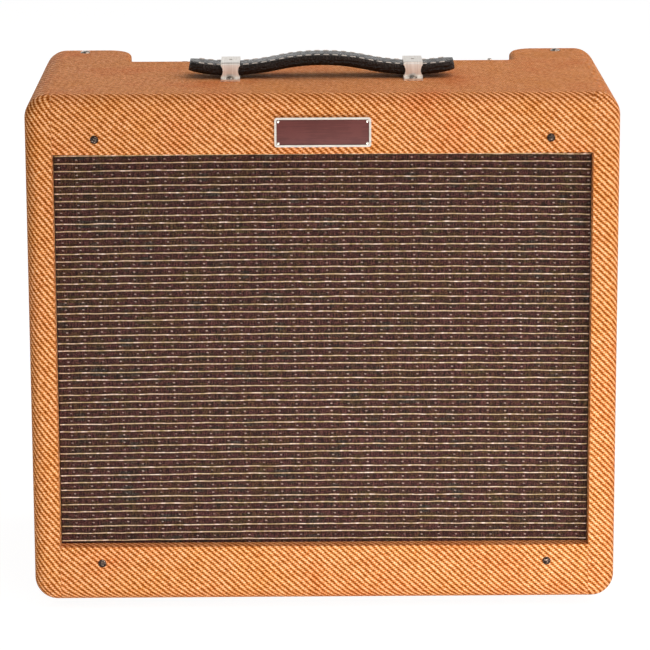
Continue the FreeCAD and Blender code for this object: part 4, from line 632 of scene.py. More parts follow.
top_z = cloth_high.z
ear_low, ear_high = (Vector(corner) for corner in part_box("chassis_screws"))
ear_side, ear_back = ear_high.x - 0.0044, (ear_low.y + ear_high.y) / 2
nut = turned_mesh("nut", [(0.0023, 0), (0.0044, 0), (0.0044, 0.0031), (0.0023, 0.0031)], sides=6, ring=True)
nut.data.transform(Matrix.Translation((0, 0, ear_low.z + 0.0014 - top_z)))
spots = [
    facing((side * ear_side, ear_back, top_z), (0, 0, 1), turn) for side, turn in ((-1, 0.3), (1, 1.2))]
ear_screws = set_of("chassis_screw_set", screw_patterns(0.0031, 0.0022, 0.026, SLOT) + [nut], spots)
# Painted shade: these screws take the nickel painted dark grey.
finish(ear_screws, nickel_painted_dark_grey, "cabinet", "nickel", "chassis_screws")

BACK_SCREW_HEIGHTS = (0.0432, 0.1312, 0.2795, 0.3195)
panel_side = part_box("back_panel_screws")[1][0] - 0.0046
panel_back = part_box("upper_back_panel")[1][1]
spots = []
for number, up in enumerate(BACK_SCREW_HEIGHTS):
    for side in (-1, 1):
        spots.append(facing((side * panel_side, panel_back, up), (0, 1, 0), 0.7 * number + side))
panel_screws = set_of("back_panel_screw_set", screw_patterns(0.0032, 0.0018, 0.019, CROSS), spots)
finish(panel_screws, nickel, "cabinet", "nickel", "back_panel_screws")

# ---- nameplate --------------------------------------------------------------------------
# A stamped brass plate, nickel-plated, stands on the front. Its sunk field is filled with
# maroon enamel and left without lettering, and a pin holds each corner.
give_finish("nameplate", nickel)
PLATE_MIDDLE = 0.3719
PLATE_THICKNESS = 0.0024
PLATE_RIM = 0.0016
PIN_RADIUS = 0.0011
plate_low, plate_high = (Vector(corner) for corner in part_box("nameplate"))
field_across = plate_high.x - PLATE_RIM
field_up = (plate_high.z - plate_low.z) / math.cos(LEAN) / 2 - PLATE_RIM - 0.0001
tilt = Matrix.Rotation(math.radians(90) - LEAN, 4, "X")
on_front = Matrix.Translation(front_point(0, 0, PLATE_MIDDLE)) @ tilt
field = block_mesh("enamel_field", (-field_across, -field_up, 0.0012),
    (field_across, field_up, PLATE_THICKNESS - 0.0007), 0.0004)
field.data.transform(on_front)

# Baked enamel is rubbed to a satin; fine streaks along it are the brushed brass beneath.
enamel, tree = new_finish("maroon_baked_enamel")
spot = add(tree, "TexCoord", out=3)
streaks = add(tree, "TexNoise", {"Vector": add(tree, "Mapping", {0: spot, "Scale": (0.03, 1, 1)}),
    "Scale": 1400.0, "Detail": 3.0})
clouds = add(tree, "TexNoise", {"Vector": spot, "Scale": 60.0, "Detail": 2.0})
shade = add(tree, "ValToRGB", {0: add(tree, "Math", {0: streaks, 1: clouds}, operation="ADD")},
    stops=((0.8, "592A26"), (1.0, "5E2E2A"), (1.2, "64322E")))
shader = add(tree, "BsdfPrincipled", {"Base Color": shade, "Roughness": 0.5, "Specular IOR Level": 0.3})
add(tree, "OutputMaterial", {"Surface": shader})
finish(field, enamel, "cabinet", "nameplate")

head = [(0, 0.0004), (PIN_RADIUS, 0.0004), (PIN_RADIUS, 0.0010), (PIN_RADIUS * 0.8, 0.0014),
    (PIN_RADIUS * 0.4, 0.0015), (PIN_RADIUS * 0.25, 0.0011), (0, 0.0010)]
spots = []
for side in (-1, 1):
    for end in (-1, 1):
        corner = (side * (field_across - PIN_RADIUS * 1.25), end * (field_up - PIN_RADIUS * 1.25), 0.0009)
        spots.append(on_front @ Matrix.Translation(corner))
pins = set_of("nameplate_pins", [turned_mesh("pin", head, 20)], spots)
finish(pins, nickel, "cabinet", "nickel")

# ---- handle -----------------------------------------------------------------------------
# Two layers of black leather are glued round a core, rubbed down and waxed at the edges, and
# sewn with white thread along both sides. Nickel-plated clips hold the strap down and leave
# it room to slide, and two screws go through each clip's feet.

HANDLE_SPAN = 0.1434
STRAP_REST = 0.0025
HANDLE_RISE = 0.0077
STRAP_THICKNESS = 0.0088
STRAP_WIDTH = 0.0266
STITCH = 0.0046
STITCH_SPACING = 0.0070
strap_low, strap_high = (Vector(corner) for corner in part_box("handle_strap"))
strap_half = strap_high.x
strap_place = (strap_low.y + strap_high.y) / 2
half_span = HANDLE_SPAN / 2
bend = (half_span ** 2 + HANDLE_RISE ** 2) / (4 * HANDLE_RISE)


def strap_underside(x):
    """How high the strap's underside is: an arch between the clips, and ends that turn up."""
    if abs(x) < half_span / 2:
        arch = HANDLE_RISE - (bend - math.sqrt(bend ** 2 - x ** 2))
    else:
        arch = bend - math.sqrt(bend ** 2 - (half_span - abs(x)) ** 2)
    return top_z + STRAP_REST + arch


def strap_slope(x):
    """How steeply the strap rises at a place along it."""
    return (strap_underside(x + 0.0005) - strap_underside(x - 0.0005)) / 0.001


def strap_section(x):
    """The strap's outline at a place along it: width and height about its middle."""
    end = max(0.0, 0.010 - (strap_half - abs(x))) / 0.010
    half_width = STRAP_WIDTH / 2 - 0.006 * (1 - math.sqrt(max(0.0, 1 - end ** 2)))
    thick = STRAP_THICKNESS * (1 - 0.18 * max(0.0, 1 - (strap_half - abs(x)) / 0.016) ** 1.5)
    half = thick / 2
    lines = []
    for u, v in (
            (0, 1.0), (0.45, 0.985), (0.62, 0.95), (0.70, 0.90), (0.74, 0.80), (0.78, 0.87),
            (0.86, 0.84), (0.93, 0.70), (0.98, 0.45), (1.0, 0.16), (0.985, 0.04), (1.0, -0.08),
            (0.99, -0.45), (0.94, -0.76), (0.84, -0.93), (0.6, -1.0), (0, -1.0)):
        lines.append((u * half_width, v * half))
    return lines + [(-across, up) for across, up in reversed(lines[1:-1])]


points, faces = [], []
stations = 96
for k in range(stations + 1):
    x = -strap_half * math.cos(math.pi * k / stations) * 0.35 + strap_half * (2 * k / stations - 1) * 0.65
    x = max(-strap_half + 0.0002, min(strap_half - 0.0002, x))
    slope = strap_slope(x)
    for across, up in strap_section(x):
        middle = strap_underside(x) + STRAP_THICKNESS / 2
        points.append((x - slope * up, strap_place + across, middle + up))
ring = len(strap_section(0))
for k in range(stations):
    for j in range(ring):
        a, b = k * ring + j, k * ring + (j + 1) % ring
        faces.append((a, b, b + ring, a + ring))
faces.append(list(range(ring)))
faces.append(list(range(stations * ring, (stations + 1) * ring))[::-1])
strap = outline_mesh("handle_leather_strap", points, faces)
shape = bmesh.new()
shape.from_mesh(strap.data)
bmesh.ops.recalc_face_normals(shape, faces=shape.faces[:])
shape.to_mesh(strap.data)
shape.free()

# Waxed, glazed cowhide: nearly black, with broken warm highlights. Its pebbled grain is drawn
# coarser than the real one.
leather, tree = new_finish("glazed_black_leather")
spot = add(tree, "TexCoord", out=3)
pebbles = add(tree, "TexVoronoi", {"Vector": spot, "Scale": 1 / 0.0016, "Randomness": 0.9})
creases = add(tree, "TexNoise", {"Vector": add(tree, "Mapping", {0: spot, "Scale": (0.35, 1, 1)}),
    "Scale": 420.0, "Detail": 4.0})
wear = add(tree, "TexNoise", {"Vector": spot, "Scale": 90.0, "Detail": 3.0})
shade = add(tree, "ValToRGB", {0: wear}, stops=((0.35, "0B0908"), (0.6, "14110F"), (0.75, "221C19")))
gloss = add(tree, "MapRange", {0: creases, 1: 0.3, 2: 0.7, 3: 0.06, 4: 0.42})
relief = add(tree, "Math", {0: pebbles, 1: 0.5, 2: creases}, operation="MULTIPLY_ADD")
bump = add(tree, "Bump", {"Height": relief, "Strength": 1.0, "Distance": 0.0012})
shader = add(tree, "BsdfPrincipled", {
    "Base Color": shade, "Roughness": gloss, "Normal": bump, "Specular IOR Level": 0.34,
    "Specular Tint": linear("F0D8CE")})
add(tree, "OutputMaterial", {"Surface": shader})
finish(strap, leather, "cabinet", "leather", "handle_strap", sharp=50)

# Waxed linen thread, white with a grey twist.
stitch_profile = [(0, -STITCH / 2), (0.0004, -STITCH * 0.47), (0.0006, -STITCH * 0.3),
    (0.0006, STITCH * 0.3), (0.0004, STITCH * 0.47), (0, STITCH / 2)]
spots = []
count = int((strap_half * 2 - 0.012) / STITCH_SPACING)
for k in range(count):
    x = (k - (count - 1) / 2) * STITCH_SPACING
    slope = strap_slope(x)
    for side in (-1, 1):
        rise = strap_underside(x) + STRAP_THICKNESS * 0.90 + 0.0004
        spots.append(
            facing((x, strap_place + side * (STRAP_WIDTH / 2 * 0.75), rise), (1, side * 0.05, slope)))
stitches = set_of("handle_stitches", [turned_mesh("stitch", stitch_profile, 8)], spots)
thread, tree = new_finish("waxed_white_thread")
spot = add(tree, "TexCoord", out=3)
twist = add(
    tree, "TexWave", {"Vector": spot, "Scale": 1 / 0.0012, "Distortion": 2.0}, bands_direction="DIAGONAL")
shade = add(tree, "ValToRGB", {0: twist}, stops=((0.2, "B9B0A4"), (0.6, "EFEAE2")))
shader = add(tree, "BsdfPrincipled", {"Base Color": shade, "Roughness": 0.6})
add(tree, "OutputMaterial", {"Surface": shader})
finish(stitches, thread, "cabinet", "leather")

# The clips are nickel-plated over brushed strip, so they are satin, with fine lines over them.
shades = ((0.3, "E2DAD0"), (0.7, "FAF4EC"))
give_finish("handle_clips", mottled(
    "satin_nickel_plate", 900.0, 3.0, shades, (0.24, 0.38), stretch=(1, 0.05, 0.05), metal=1.0))
CLIP_THICKNESS = 0.0015
CLIP_SCREW_REACH = 0.0194
foot_top = top_z + CLIP_THICKNESS
spots = []
for side in (-1, 1):
    for edge in (-1, 1):
        spot = (side * half_span, strap_place + edge * CLIP_SCREW_REACH, foot_top)
        spots.append(facing(spot, (0, 0, 1), 0.9 * side + 0.5 * edge))
handle_screws = set_of("handle_screw_set", screw_patterns(0.0032, 0.0019, 0.015, CROSS, oval=False), spots)
# Painted shade: these screws take the nickel painted dark grey.
finish(handle_screws, nickel_painted_dark_grey, "cabinet", "nickel", "handle_screws")

# ---- feet -------------------------------------------------------------------------------
# Four moulded rubber feet lift the cabinet, each held by a screw up through its middle. The
# rubber is matt, with a faint grey bloom.
shades = ((0.3, "161514"), (0.7, "2A2725"))
give_finish("rubber_feet", mottled("moulded_black_rubber", 140.0, 4.0, shades, 0.7, (0.2, 0.0003)))
screw_low, screw_high = (Vector(corner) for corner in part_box("foot_screws"))
FOOT_SCREW_HEAD = 0.0049
spots = []
for side in (-1, 1):
    for y in (screw_low.y + FOOT_SCREW_HEAD, screw_high.y - FOOT_SCREW_HEAD):
        spots.append(facing((side * (screw_high.x - FOOT_SCREW_HEAD), y, screw_low.z + 0.0028), (0, 0, -1),
            0.8 * side + y * 30))
foot_screws = set_of("foot_screw_set", screw_patterns(FOOT_SCREW_HEAD, 0.0021,
    screw_high.z - screw_low.z - 0.0028, CROSS, oval=False), spots)
finish(foot_screws, nickel, "cabinet", "dark_screws", "foot_screws")

# ---- back panels ------------------------------------------------------------------------
# Two strips of board, covered like the cabinet, close the back above and below the speaker
# and leave it open between them. They are screwed to cleats along the sides.
give_finish("upper_back_panel", tweed)
give_finish("lower_back_panel", tweed)

# ---- chassis and control panel ----------------------------------------------------------
# The chassis is folded from sheet steel and zinc-plated. Its chromed panel lies in a recess of
# the top, with black numerals from 1 to 12 round each control, to be read from behind.

# Zinc plate is bluish and half matt, with the spangle of large crystals.
zinc, tree = new_finish("bright_zinc_plate")
spot = add(tree, "TexCoord", out=3)
crystals = add(tree, "TexVoronoi", {"Vector": spot, "Scale": 1 / 0.011, "Randomness": 1.0}, out=1)
spangle = add(tree, "SeparateXYZ", {0: crystals})
cloud = add(tree, "TexNoise", {"Vector": spot, "Scale": 70.0, "Detail": 4.0})
shade = add(tree, "Mix", {0: spangle, 6: linear("ADB2B6"), 7: linear("BEC2C4")}, out=2, data_type="RGBA")
gloss = add(tree, "MapRange", {0: cloud, 3: 0.30, 4: 0.48})
shader = add(tree, "BsdfPrincipled", {"Base Color": shade, "Metallic": 1.0, "Roughness": gloss})
add(tree, "OutputMaterial", {"Surface": shader})
for name in ("chassis", "reverb_tank"):
    give_finish(name, zinc)

# Chrome over polished steel: a cool mirror with faint wipe marks.
shades = ((0.3, "C9CBCD"), (0.7, "DFE1E3"))
chrome = mottled("polished_chrome_plate", 90.0, 4.0, shades, (0.04, 0.14), stretch=(0.4, 1, 1), metal=1.0)
give_finish("control_panel", chrome)
give_finish("pilot_bezel", chrome)
for name in ("panel_nuts", "power_toggle"):
    give_finish(name, nickel)

# Numerals are screen-printed in black ink, thick enough to feel.
NUMERAL_HEIGHT = 0.0026
NUMERAL_RADIUS = 0.0127
INK = 0.00012
ink = mottled("screen_printed_black_ink", 1500.0, 2.0, ((0.3, "0E0E0F"), (0.7, "1C1C1E")), 0.45)
panel_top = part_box("control_panel")[1][2]
knobs = ("volume", "treble", "bass", "middle", "master", "reverb")
centres = {}
for name in knobs:
    shaft_low, shaft_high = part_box("shaft_" + name)
    across = (shaft_low[0] + shaft_high[0]) / 2
    deep = (shaft_low[1] + shaft_high[1]) / 2
    centres[name] = Vector((across, deep, panel_top))
shape = bmesh.new()
for number in range(1, 13):
    turn = math.radians(-150 + 300 * (number - 1) / 11)
    figure = bpy.data.curves.new("numeral", "FONT")
    figure.body = str(number)
    figure.size = NUMERAL_HEIGHT * 1.35
    figure.align_x = "CENTER"
    figure.align_y = "CENTER"
    figure.extrude = INK / 2
    figure.resolution_u = 3
    thing = bpy.data.objects.new("numeral", figure)
    bpy.context.collection.objects.link(thing)
    bpy.context.view_layer.update()
    mesh = bpy.data.meshes.new_from_object(thing)
    for centre in centres.values():
        off = Vector((-math.sin(turn), -math.cos(turn), 0)) * NUMERAL_RADIUS
        copy = mesh.copy()
        copy.transform(
            Matrix.Translation(centre + off + Vector((0, 0, INK / 2))) @ Matrix.Rotation(math.pi, 4, "Z"))
        shape.from_mesh(copy)
        bpy.data.meshes.remove(copy)
    bpy.data.objects.remove(thing)
numerals = object_from("panel_numerals", shape)
finish(numerals, ink, "cabinet", "chrome_panel")

# ---- knobs and shafts -------------------------------------------------------------------
# Six pointer knobs are moulded from black phenolic resin, with a line of white wax along each
# beak. They are pushed on turned aluminium shafts.

# Phenolic resin is almost black and glossy, with faint flow marks, and the wax is a matt cream.
shades = ((0.3, "0C0B0B"), (0.7, "191716"))
phenolic = mottled("moulded_black_phenolic", 260.0, 4.0, shades, (0.16, 0.34), (0.08, 0.0003), coarse=0.6)
filler = mottled("white_filling_wax", 1200.0, 2.0, ((0.3, "D8D2C4"), (0.7, "F0ECE2")), 0.6)

# Turned aluminium is pale and satin, with the tool's fine rings drawn coarser than they are.
turned_metal, tree = new_finish("turned_aluminium")
spot = add(tree, "TexCoord", out=3)
rings = add(tree, "TexWave", {"Vector": spot, "Scale": 1 / 0.0008, "Distortion": 0.5}, bands_direction="Z")
gloss = add(tree, "MapRange", {0: rings, 3: 0.24, 4: 0.36})
shade = add(tree, "ValToRGB", {0: rings}, stops=((0.3, "C8CACB"), (0.7, "DCDDDD")))
shader = add(tree, "BsdfPrincipled", {"Base Color": shade, "Metallic": 1.0, "Roughness": gloss})
add(tree, "OutputMaterial", {"Surface": shader})
for name in knobs:
    give_finish("knob_" + name, phenolic)
    give_finish("shaft_" + name, turned_metal)
    knob_low, knob_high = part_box("knob_" + name)
    centre = centres[name]
    line = block_mesh(
        "pointer_line_" + name, (centre.x - 0.0004, knob_low[1] + 0.0016, knob_high[2] - 0.0003),
                      (centre.x + 0.0004, centre.y + 0.001, knob_high[2] + 0.00008), 0.00005)
    finish(line, filler, name + "_control", "knob_plastic")

# ---- switches, jacks and lamp -----------------------------------------------------------
# The jacks and switches are black moulded bodies inside the chassis, with nickel-plated
# threaded bushings through it. A red cut-glass jewel covers the pilot lamp.

# Moulded nylon and phenolic: black, softly glossy, with faint flow marks. Where a bushing
# comes out of the chassis, it is nickel.
nylon_shades = ((0.3, "121212"), (0.7, "222222"))
moulded = mottled("moulded_black_nylon", 320.0, 3.0, nylon_shades, (0.32, 0.5))
chassis_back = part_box("chassis")[1][1]


def bushed(name, axis, edge):
    """Black moulding up to an edge along an axis, and nickel-plated bushing past it."""
    material, tree = new_finish(name)
    spot = add(tree, "TexCoord", out=3)
    place = add(tree, "SeparateXYZ", {0: spot}, out=axis)
    past = add(tree, "Math", {0: place, 1: edge}, operation="GREATER_THAN")
    flow = add(tree, "TexNoise", {"Vector": spot, "Scale": 320.0, "Detail": 3.0})
    body = add(tree, "ValToRGB", {0: flow}, stops=nylon_shades)
    plated = add(tree, "ValToRGB", {0: flow}, stops=((0.3, "CFC6BA"), (0.7, "E6DED2")))
    shade = add(tree, "Mix", {0: past, 6: body, 7: plated}, out=2, data_type="RGBA")
    gloss = add(tree, "MapRange", {0: past, 3: 0.4, 4: 0.18})
    shader = add(tree, "BsdfPrincipled", {"Base Color": shade, "Metallic": past, "Roughness": gloss})
    add(tree, "OutputMaterial", {"Surface": shader})
    return material


top_bushed = bushed("black_body_with_nickel_bushing_on_top", 2, panel_top - 0.0015)
rear_bushed = bushed("black_body_with_nickel_bushing_behind", 1, chassis_back)
for name in ("input_jack", "fat_switch", "power_switch", "potentiometers"):
    give_finish(name, top_bushed)
give_finish("rear_jacks", rear_bushed)
for name in ("mains_inlet", "fuse_holder"):
    give_finish(name, moulded)

# The push button is moulded acrylic: a warmer black than the nylon, and glossier.
shades = ((0.3, "1A1919"), (0.7, "262424"))
give_finish("fat_button", mottled("moulded_black_acrylic", 400.0, 3.0, shades, 0.25))

# The mains inlet has three nickel-plated blades, which lie over the moulded ones.
inlet_low, inlet_high = (Vector(corner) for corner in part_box("mains_inlet"))
inlet_middle = (inlet_low + inlet_high) / 2
blades = []
for across, up in ((-0.007, -0.002), (0, 0.002), (0.007, -0.002)):
    low = (inlet_middle.x + across - 0.0011, inlet_low.y + 0.0035, inlet_middle.z + up - 0.0021)
    high = (inlet_middle.x + across + 0.0011, chassis_back - 0.0038, inlet_middle.z + up + 0.0021)
    blades.append(block_mesh("inlet_blade", low, high, 0.0003))
blades = set_of("inlet_blades", blades, [Matrix.Identity(4)])
finish(blades, nickel, "cabinet", "black_plastic")

# The jewel is pressed and cut glass, clear red, with flat facets that flash.
JEWEL_FACETS = 12
jewel_low, jewel_high = (Vector(corner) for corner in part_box("pilot_jewel"))
jewel_middle = (jewel_low + jewel_high) / 2
jewel_radius = (jewel_high.x - jewel_low.x) / 2
jewel_tall = jewel_high.z - jewel_low.z
rings, points, faces = [], [], []
for radius, up, shift in (
        (0.93, 0, 0), (0.93, 0.55, 0), (0.97, 0.62, 0.5), (0.80, 0.80, 0), (0.52, 0.94, 0.5),
        (0.28, 0.995, 0)):
    rings.append(range(len(points), len(points) + JEWEL_FACETS))
    for k in range(JEWEL_FACETS):
        turn = 2 * math.pi * (k + shift) / JEWEL_FACETS
        points.append((jewel_middle.x + jewel_radius * radius * math.cos(turn),
            jewel_middle.y + jewel_radius * radius * math.sin(turn), jewel_low.z + jewel_tall * up))
jewel_shape = outline_mesh("cut_glass_jewel", points, [])
shape = bmesh.new()
shape.from_mesh(jewel_shape.data)
bmesh.ops.convex_hull(shape, input=shape.verts[:])
shape.to_mesh(jewel_shape.data)
shape.free()
red_glass, tree = new_finish("pressed_red_glass")
spot = add(tree, "TexCoord", out=3)
cord_marks = add(tree, "TexNoise", {"Vector": spot, "Scale": 500.0, "Detail": 1.0})
gloss = add(tree, "MapRange", {0: cord_marks, 3: 0.02, 4: 0.08})
shader = add(tree, "BsdfPrincipled", {"Base Color": linear("C21A14"), "Roughness": gloss, "IOR": 1.52,
    "Transmission Weight": 0.75})
add(tree, "OutputMaterial", {"Surface": shader})
finish(jewel_shape, red_glass, "cabinet", "jewel", "pilot_jewel", sharp=5)

# ---- circuit board ----------------------------------------------------------------------
# A glass-epoxy board is held on spacers in the chassis. Glossy green lacquer covers its copper,
# which shows as blocks of lighter and darker green.
lacquered_board, tree = new_finish("green_lacquered_glass_epoxy")
spot = add(tree, "TexCoord", out=3)
tracks = add(tree, "TexBrick", {"Vector": spot, "Color1": linear("1E5A36"), "Color2": linear("2A6E44"),
    "Mortar": linear("174A2C"), "Scale": 1 / 0.012})
shader = add(tree, "BsdfPrincipled", {"Base Color": tracks, "Roughness": 0.32, "Coat Weight": 0.3})
add(tree, "OutputMaterial", {"Surface": shader})
give_finish("circuit_board", lacquered_board)

# ---- valves -----------------------------------------------------------------------------
# Three small double triodes and two output valves hang from ceramic sockets. Each is a blown
# glass bulb over mica discs and grey anodes, with a silvery getter flash at its end.
VALVE_PLACES = (("preamp_valves", (-0.160, -0.120, -0.080)), ("power_valves", (-0.040, 0.0)))
GLASS_WALL = 0.0008
DOME_START = 1.15  # in radii from the end
DOME_HEIGHT = 0.80  # in radii

# Blown glass is clear and almost perfectly smooth, with a faint ripple in its gloss.
clear_glass, tree = new_finish("blown_clear_glass")
spot = add(tree, "TexCoord", out=3)
ripple = add(tree, "TexNoise", {"Vector": spot, "Scale": 90.0, "Detail": 1.0})
gloss = add(tree, "MapRange", {0: ripple, 3: 0.0, 4: 0.04})
shader = add(tree, "BsdfPrincipled", {"Base Color": linear("F4F7F7"), "Roughness": gloss, "IOR": 1.5,
    "Transmission Weight": 1.0})
add(tree, "OutputMaterial", {"Surface": shader})

# Carbonised nickel is a dull sooty grey, split mica pale and satin, and the flash of barium
# that is left by the getter a patchy mirror.
shades = ((0.3, "3A3B3D"), (0.7, "55575A"))
anode_grey = mottled("carbonised_nickel_sheet", 700.0, 3.0, shades, 0.55, metal=0.7)
mica = mottled("split_mica", 800.0, 2.0, ((0.3, "C9C2AE"), (0.7, "E6E1D2")), 0.3)
shades = ((0.3, "6E6A64"), (0.6, "B9B6B0"))
flash = mottled("silvery_barium_flash", 260.0, 2.0, shades, 0.12, metal=1.0)
for node, places in VALVE_PLACES:
    valve_low, valve_high = (Vector(corner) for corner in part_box(node))
    long = valve_high.z - valve_low.z
    radius = (valve_high.y - valve_low.y) / 2
    back = (valve_high.y + valve_low.y) / 2
    spots = [facing((x, back, valve_high.z), (0, 0, -1)) for x in places]
    outer = [(0, 0.0002), (radius * 0.86, 0.0002), (radius * 0.99, 0.002),
        (radius * 0.99, long - radius * DOME_START)]
    outer += [(radius * 0.99 * math.cos(a), long - radius * DOME_START + radius * DOME_HEIGHT * math.sin(a))
        for a in (0.3, 0.6, 0.9, 1.15, 1.3)]
    outer += [(0.0019, long - 0.0032), (0.0016, long - 0.0012), (0.0006, long - 0.0002), (0, long - 0.0002)]
    inner = [(max(0, r - GLASS_WALL), min(max(h, 0.0035), long - 0.0042)) for r, h in outer if r > 0.003]
    inner = [(0, 0.0035)] + inner + [(0, long - 0.0045)]
    bulbs = set_of(node + "_glass", [turned_mesh("bulb", outer), turned_mesh("hollow", inner[::-1])], spots)
    finish(bulbs, clear_glass, "cabinet", "valve_glass", node)
    room = radius - GLASS_WALL - 0.0006
    anode_long = long * 0.48
    anodes = []
    for side in (-1, 1) if node == "preamp_valves" else (0,):
        wide = room * (0.34 if side else 0.62)
        anode = block_mesh("anode", (-wide + side * room * 0.40, -room * 0.45, 0.011),
            (wide + side * room * 0.40, room * 0.45, 0.011 + anode_long), 0.0008)
        fin = block_mesh("fin", (side * room * 0.40 - 0.0004, -room * 0.62, 0.013),
            (side * room * 0.40 + 0.0004, room * 0.62, 0.009 + anode_long), 0.0002)
        anodes += [anode, fin]
    finish(set_of(node + "_anodes", anodes, spots), anode_grey, "cabinet", "valve_glass")
    discs = []
    for up in (0.0098, 0.0112 + anode_long):
        discs.append(turned_mesh("mica", [(0, up), (room, up), (room, up + 0.0004), (0, up + 0.0004)], 24))
    finish(set_of(node + "_micas", discs, spots), mica, "cabinet", "valve_glass")
    cap = [(room * math.cos(a) * 1.02,
        long - radius * DOME_START - 0.0002 + (radius * DOME_HEIGHT - GLASS_WALL) * math.sin(a))
        for a in (0.1, 0.4, 0.7, 1.0, 1.25)]
    cap = turned_mesh("getter", cap + [(r - 0.0001, h - 0.0001) for r, h in reversed(cap)], 24, ring=True)
    finish(set_of(node + "_getters", [cap], spots), flash, "cabinet", "valve_glass")
    pins = []
    for k in range(9):
        turn = 2 * math.pi * (k + 0.5) / 10
        pin = turned_mesh("pin", [(0, -0.0001), (0.0005, -0.0001), (0.0005, 0.0092), (0, 0.0092)], 8)
        pin.data.transform(
            Matrix.Translation((radius * 0.56 * math.cos(turn), radius * 0.56 * math.sin(turn), 0.0004)))
        pins.append(pin)
    finish(set_of(node + "_pins", pins, spots), nickel, "cabinet", "valve_glass")

# Sockets are pressed steatite: white, fine-grained and faintly glossy.
shades = ((0.3, "DAD5C9"), (0.7, "EFEBE1"))
give_finish("valve_sockets", mottled("pressed_steatite", 500.0, 3.0, shades, 0.35, (0.1, 0.0002)))

# ---- transformers -----------------------------------------------------------------------
# Stacks of thin steel laminations stand between two pressed bell covers, all enamelled black.
# The edges of the laminations show as fine lines round the stack, drawn coarser than they are.
LAMINATION = 0.0010


def enamelled(name, node):
    """Black enamel, with the lines of the laminations round the middle of a transformer."""
    low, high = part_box(node)
    stack = 0.032 if node == "power_transformer" else 0.024
    material, tree = new_finish(name)
    spot = add(tree, "TexCoord", out=3)
    y = add(tree, "SeparateXYZ", {0: spot}, out=1)
    off = add(tree, "Math", {0: y, 1: (low[1] + high[1]) / 2}, operation="SUBTRACT")
    inside = add(tree, "Math", {0: add(tree, "Math", {0: off}, operation="ABSOLUTE"),
        1: stack / 2 - 0.0002}, operation="LESS_THAN")
    lines = add(tree, "Math", {0: add(tree, "Math", {0: y, 1: 2 * math.pi / LAMINATION},
        operation="MULTIPLY")}, operation="COSINE")
    lines = add(tree, "Math", {0: lines, 1: inside}, operation="MULTIPLY")
    orange = add(tree, "TexNoise", {"Vector": spot, "Scale": 380.0, "Detail": 2.0})
    relief = add(tree, "Math", {0: orange, 1: 0.4, 2: lines}, operation="MULTIPLY_ADD")
    bump = add(tree, "Bump", {"Height": relief, "Strength": 0.35, "Distance": 0.0003})
    shade = add(tree, "ValToRGB", {0: orange}, stops=((0.3, "141415"), (0.7, "232324")))
    shader = add(tree, "BsdfPrincipled", {"Base Color": shade, "Roughness": 0.38, "Normal": bump})
    add(tree, "OutputMaterial", {"Surface": shader})
    give_finish(node, material)


enamelled("black_enamelled_power_laminations", "power_transformer")
enamelled("black_enamelled_output_laminations", "output_transformer")

# ---- speaker ----------------------------------------------------------------------------
# The basket is pressed from sheet steel and painted. A ferrite ring is clamped between two
# plated irons behind it, and a paper cone moves on a doped cloth surround and a spider.

# Stoved paint is a satin grey-black with fine orange peel.
shades = ((0.3, "1B1C1E"), (0.7, "2B2C2F"))
give_finish("speaker_basket", mottled("stoved_grey_black_paint", 450.0, 3.0, shades, 0.42, (0.15, 0.0002)))
give_finish("speaker_screws", blued)

# The irons are plated like the chassis, and the ferrite ring between them, which is wider, is
# sintered: grey-black, granular and dull.
magnet_low, magnet_high = (Vector(corner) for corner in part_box("speaker_magnet"))
magnet, tree = new_finish("ferrite_between_plated_irons")
spot = add(tree, "TexCoord", out=3)
middle = (magnet_low + magnet_high) / 2
from_axis = add(tree, "VectorMath", {0: spot, 1: middle}, operation="SUBTRACT")
axis = Vector((0, math.cos(LEAN), -math.sin(LEAN)))
depth = add(tree, "VectorMath", {0: from_axis, 1: axis}, out=1, operation="DOT_PRODUCT")
ferrite = add(tree, "Math", {0: add(tree, "Math", {0: depth}, operation="ABSOLUTE"), 1: 0.0088},
    operation="LESS_THAN")
grit = add(tree, "TexNoise", {"Vector": spot, "Scale": 600.0, "Detail": 4.0})
dull = add(tree, "ValToRGB", {0: grit}, stops=((0.3, "2C2C2E"), (0.7, "434346")))
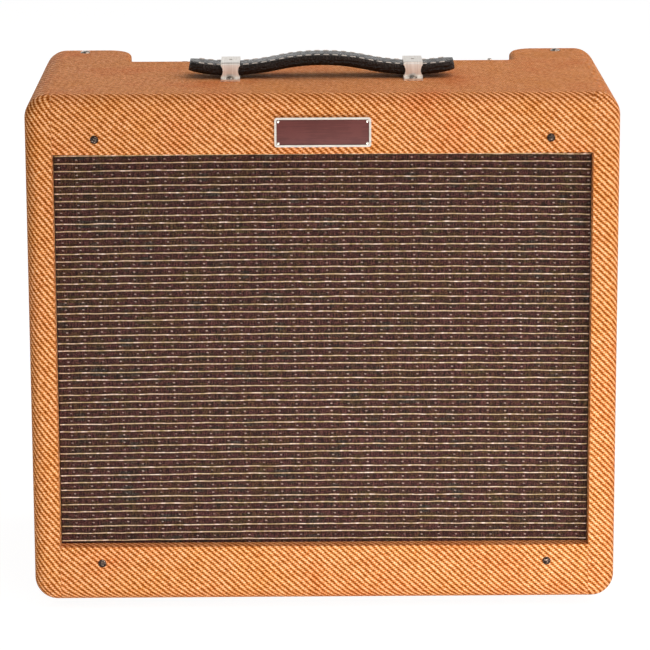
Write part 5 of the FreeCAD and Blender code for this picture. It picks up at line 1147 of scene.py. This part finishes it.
plated = add(tree, "ValToRGB", {0: grit}, stops=((0.3, "9FA3A6"), (0.7, "B6BABC")))
shade = add(tree, "Mix", {0: ferrite, 6: plated, 7: dull}, out=2, data_type="RGBA")
metal = add(tree, "Math", {0: 1.0, 1: ferrite}, operation="SUBTRACT")
gloss = add(tree, "MapRange", {0: ferrite, 3: 0.36, 4: 0.72})
shader = add(tree, "BsdfPrincipled", {"Base Color": shade, "Metallic": metal, "Roughness": gloss})
add(tree, "OutputMaterial", {"Surface": shader})
give_finish("speaker_magnet", magnet)

# Felted paper pulp: dark grey-brown, matt, with loose fibres.
shades = ((0.3, "2B2825"), (0.6, "3D3934"), (0.8, "5A544B"))
give_finish(
    "speaker_cone", mottled("felted_paper_pulp", 850.0, 5.0, shades, 0.85, (0.4, 0.0003), coarse=0.7))

# Woven cotton stiffened with resin: black and tacky on the surround, amber on the spider. Its
# threads are drawn coarser than the real ones.
for name, node, dark, light, rough in (
    ("doped_black_cotton", "speaker_surround", "151413", "24211F", 0.42),
    ("resin_stiffened_amber_cotton", "speaker_spider", "8A6A34", "B08D50", 0.7)):
    cotton, tree = new_finish(name)
    spot = add(tree, "TexCoord", out=3)
    x, _, z = add(tree, "SeparateXYZ", {0: spot}).node.outputs
    warp = add(tree, "Math", {0: add(tree, "Math", {0: x, 1: 2 * math.pi / 0.0011}, operation="MULTIPLY")},
        operation="COSINE")
    weft = add(tree, "Math", {0: add(tree, "Math", {0: z, 1: 2 * math.pi / 0.0011}, operation="MULTIPLY")},
        operation="COSINE")
    cloth = add(tree, "Math", {0: warp, 1: weft}, operation="MULTIPLY")
    shade = add(tree, "MapRange", {0: cloth, 1: -1.0, 2: 1.0})
    shade = add(tree, "ValToRGB", {0: shade}, stops=((0.2, dark), (0.8, light)))
    bump = add(tree, "Bump", {"Height": cloth, "Strength": 0.4, "Distance": 0.0003})
    shader = add(tree, "BsdfPrincipled", {"Base Color": shade, "Roughness": rough, "Normal": bump})
    add(tree, "OutputMaterial", {"Surface": shader})
    give_finish(node, cotton)

bpy.context.view_layer.update()
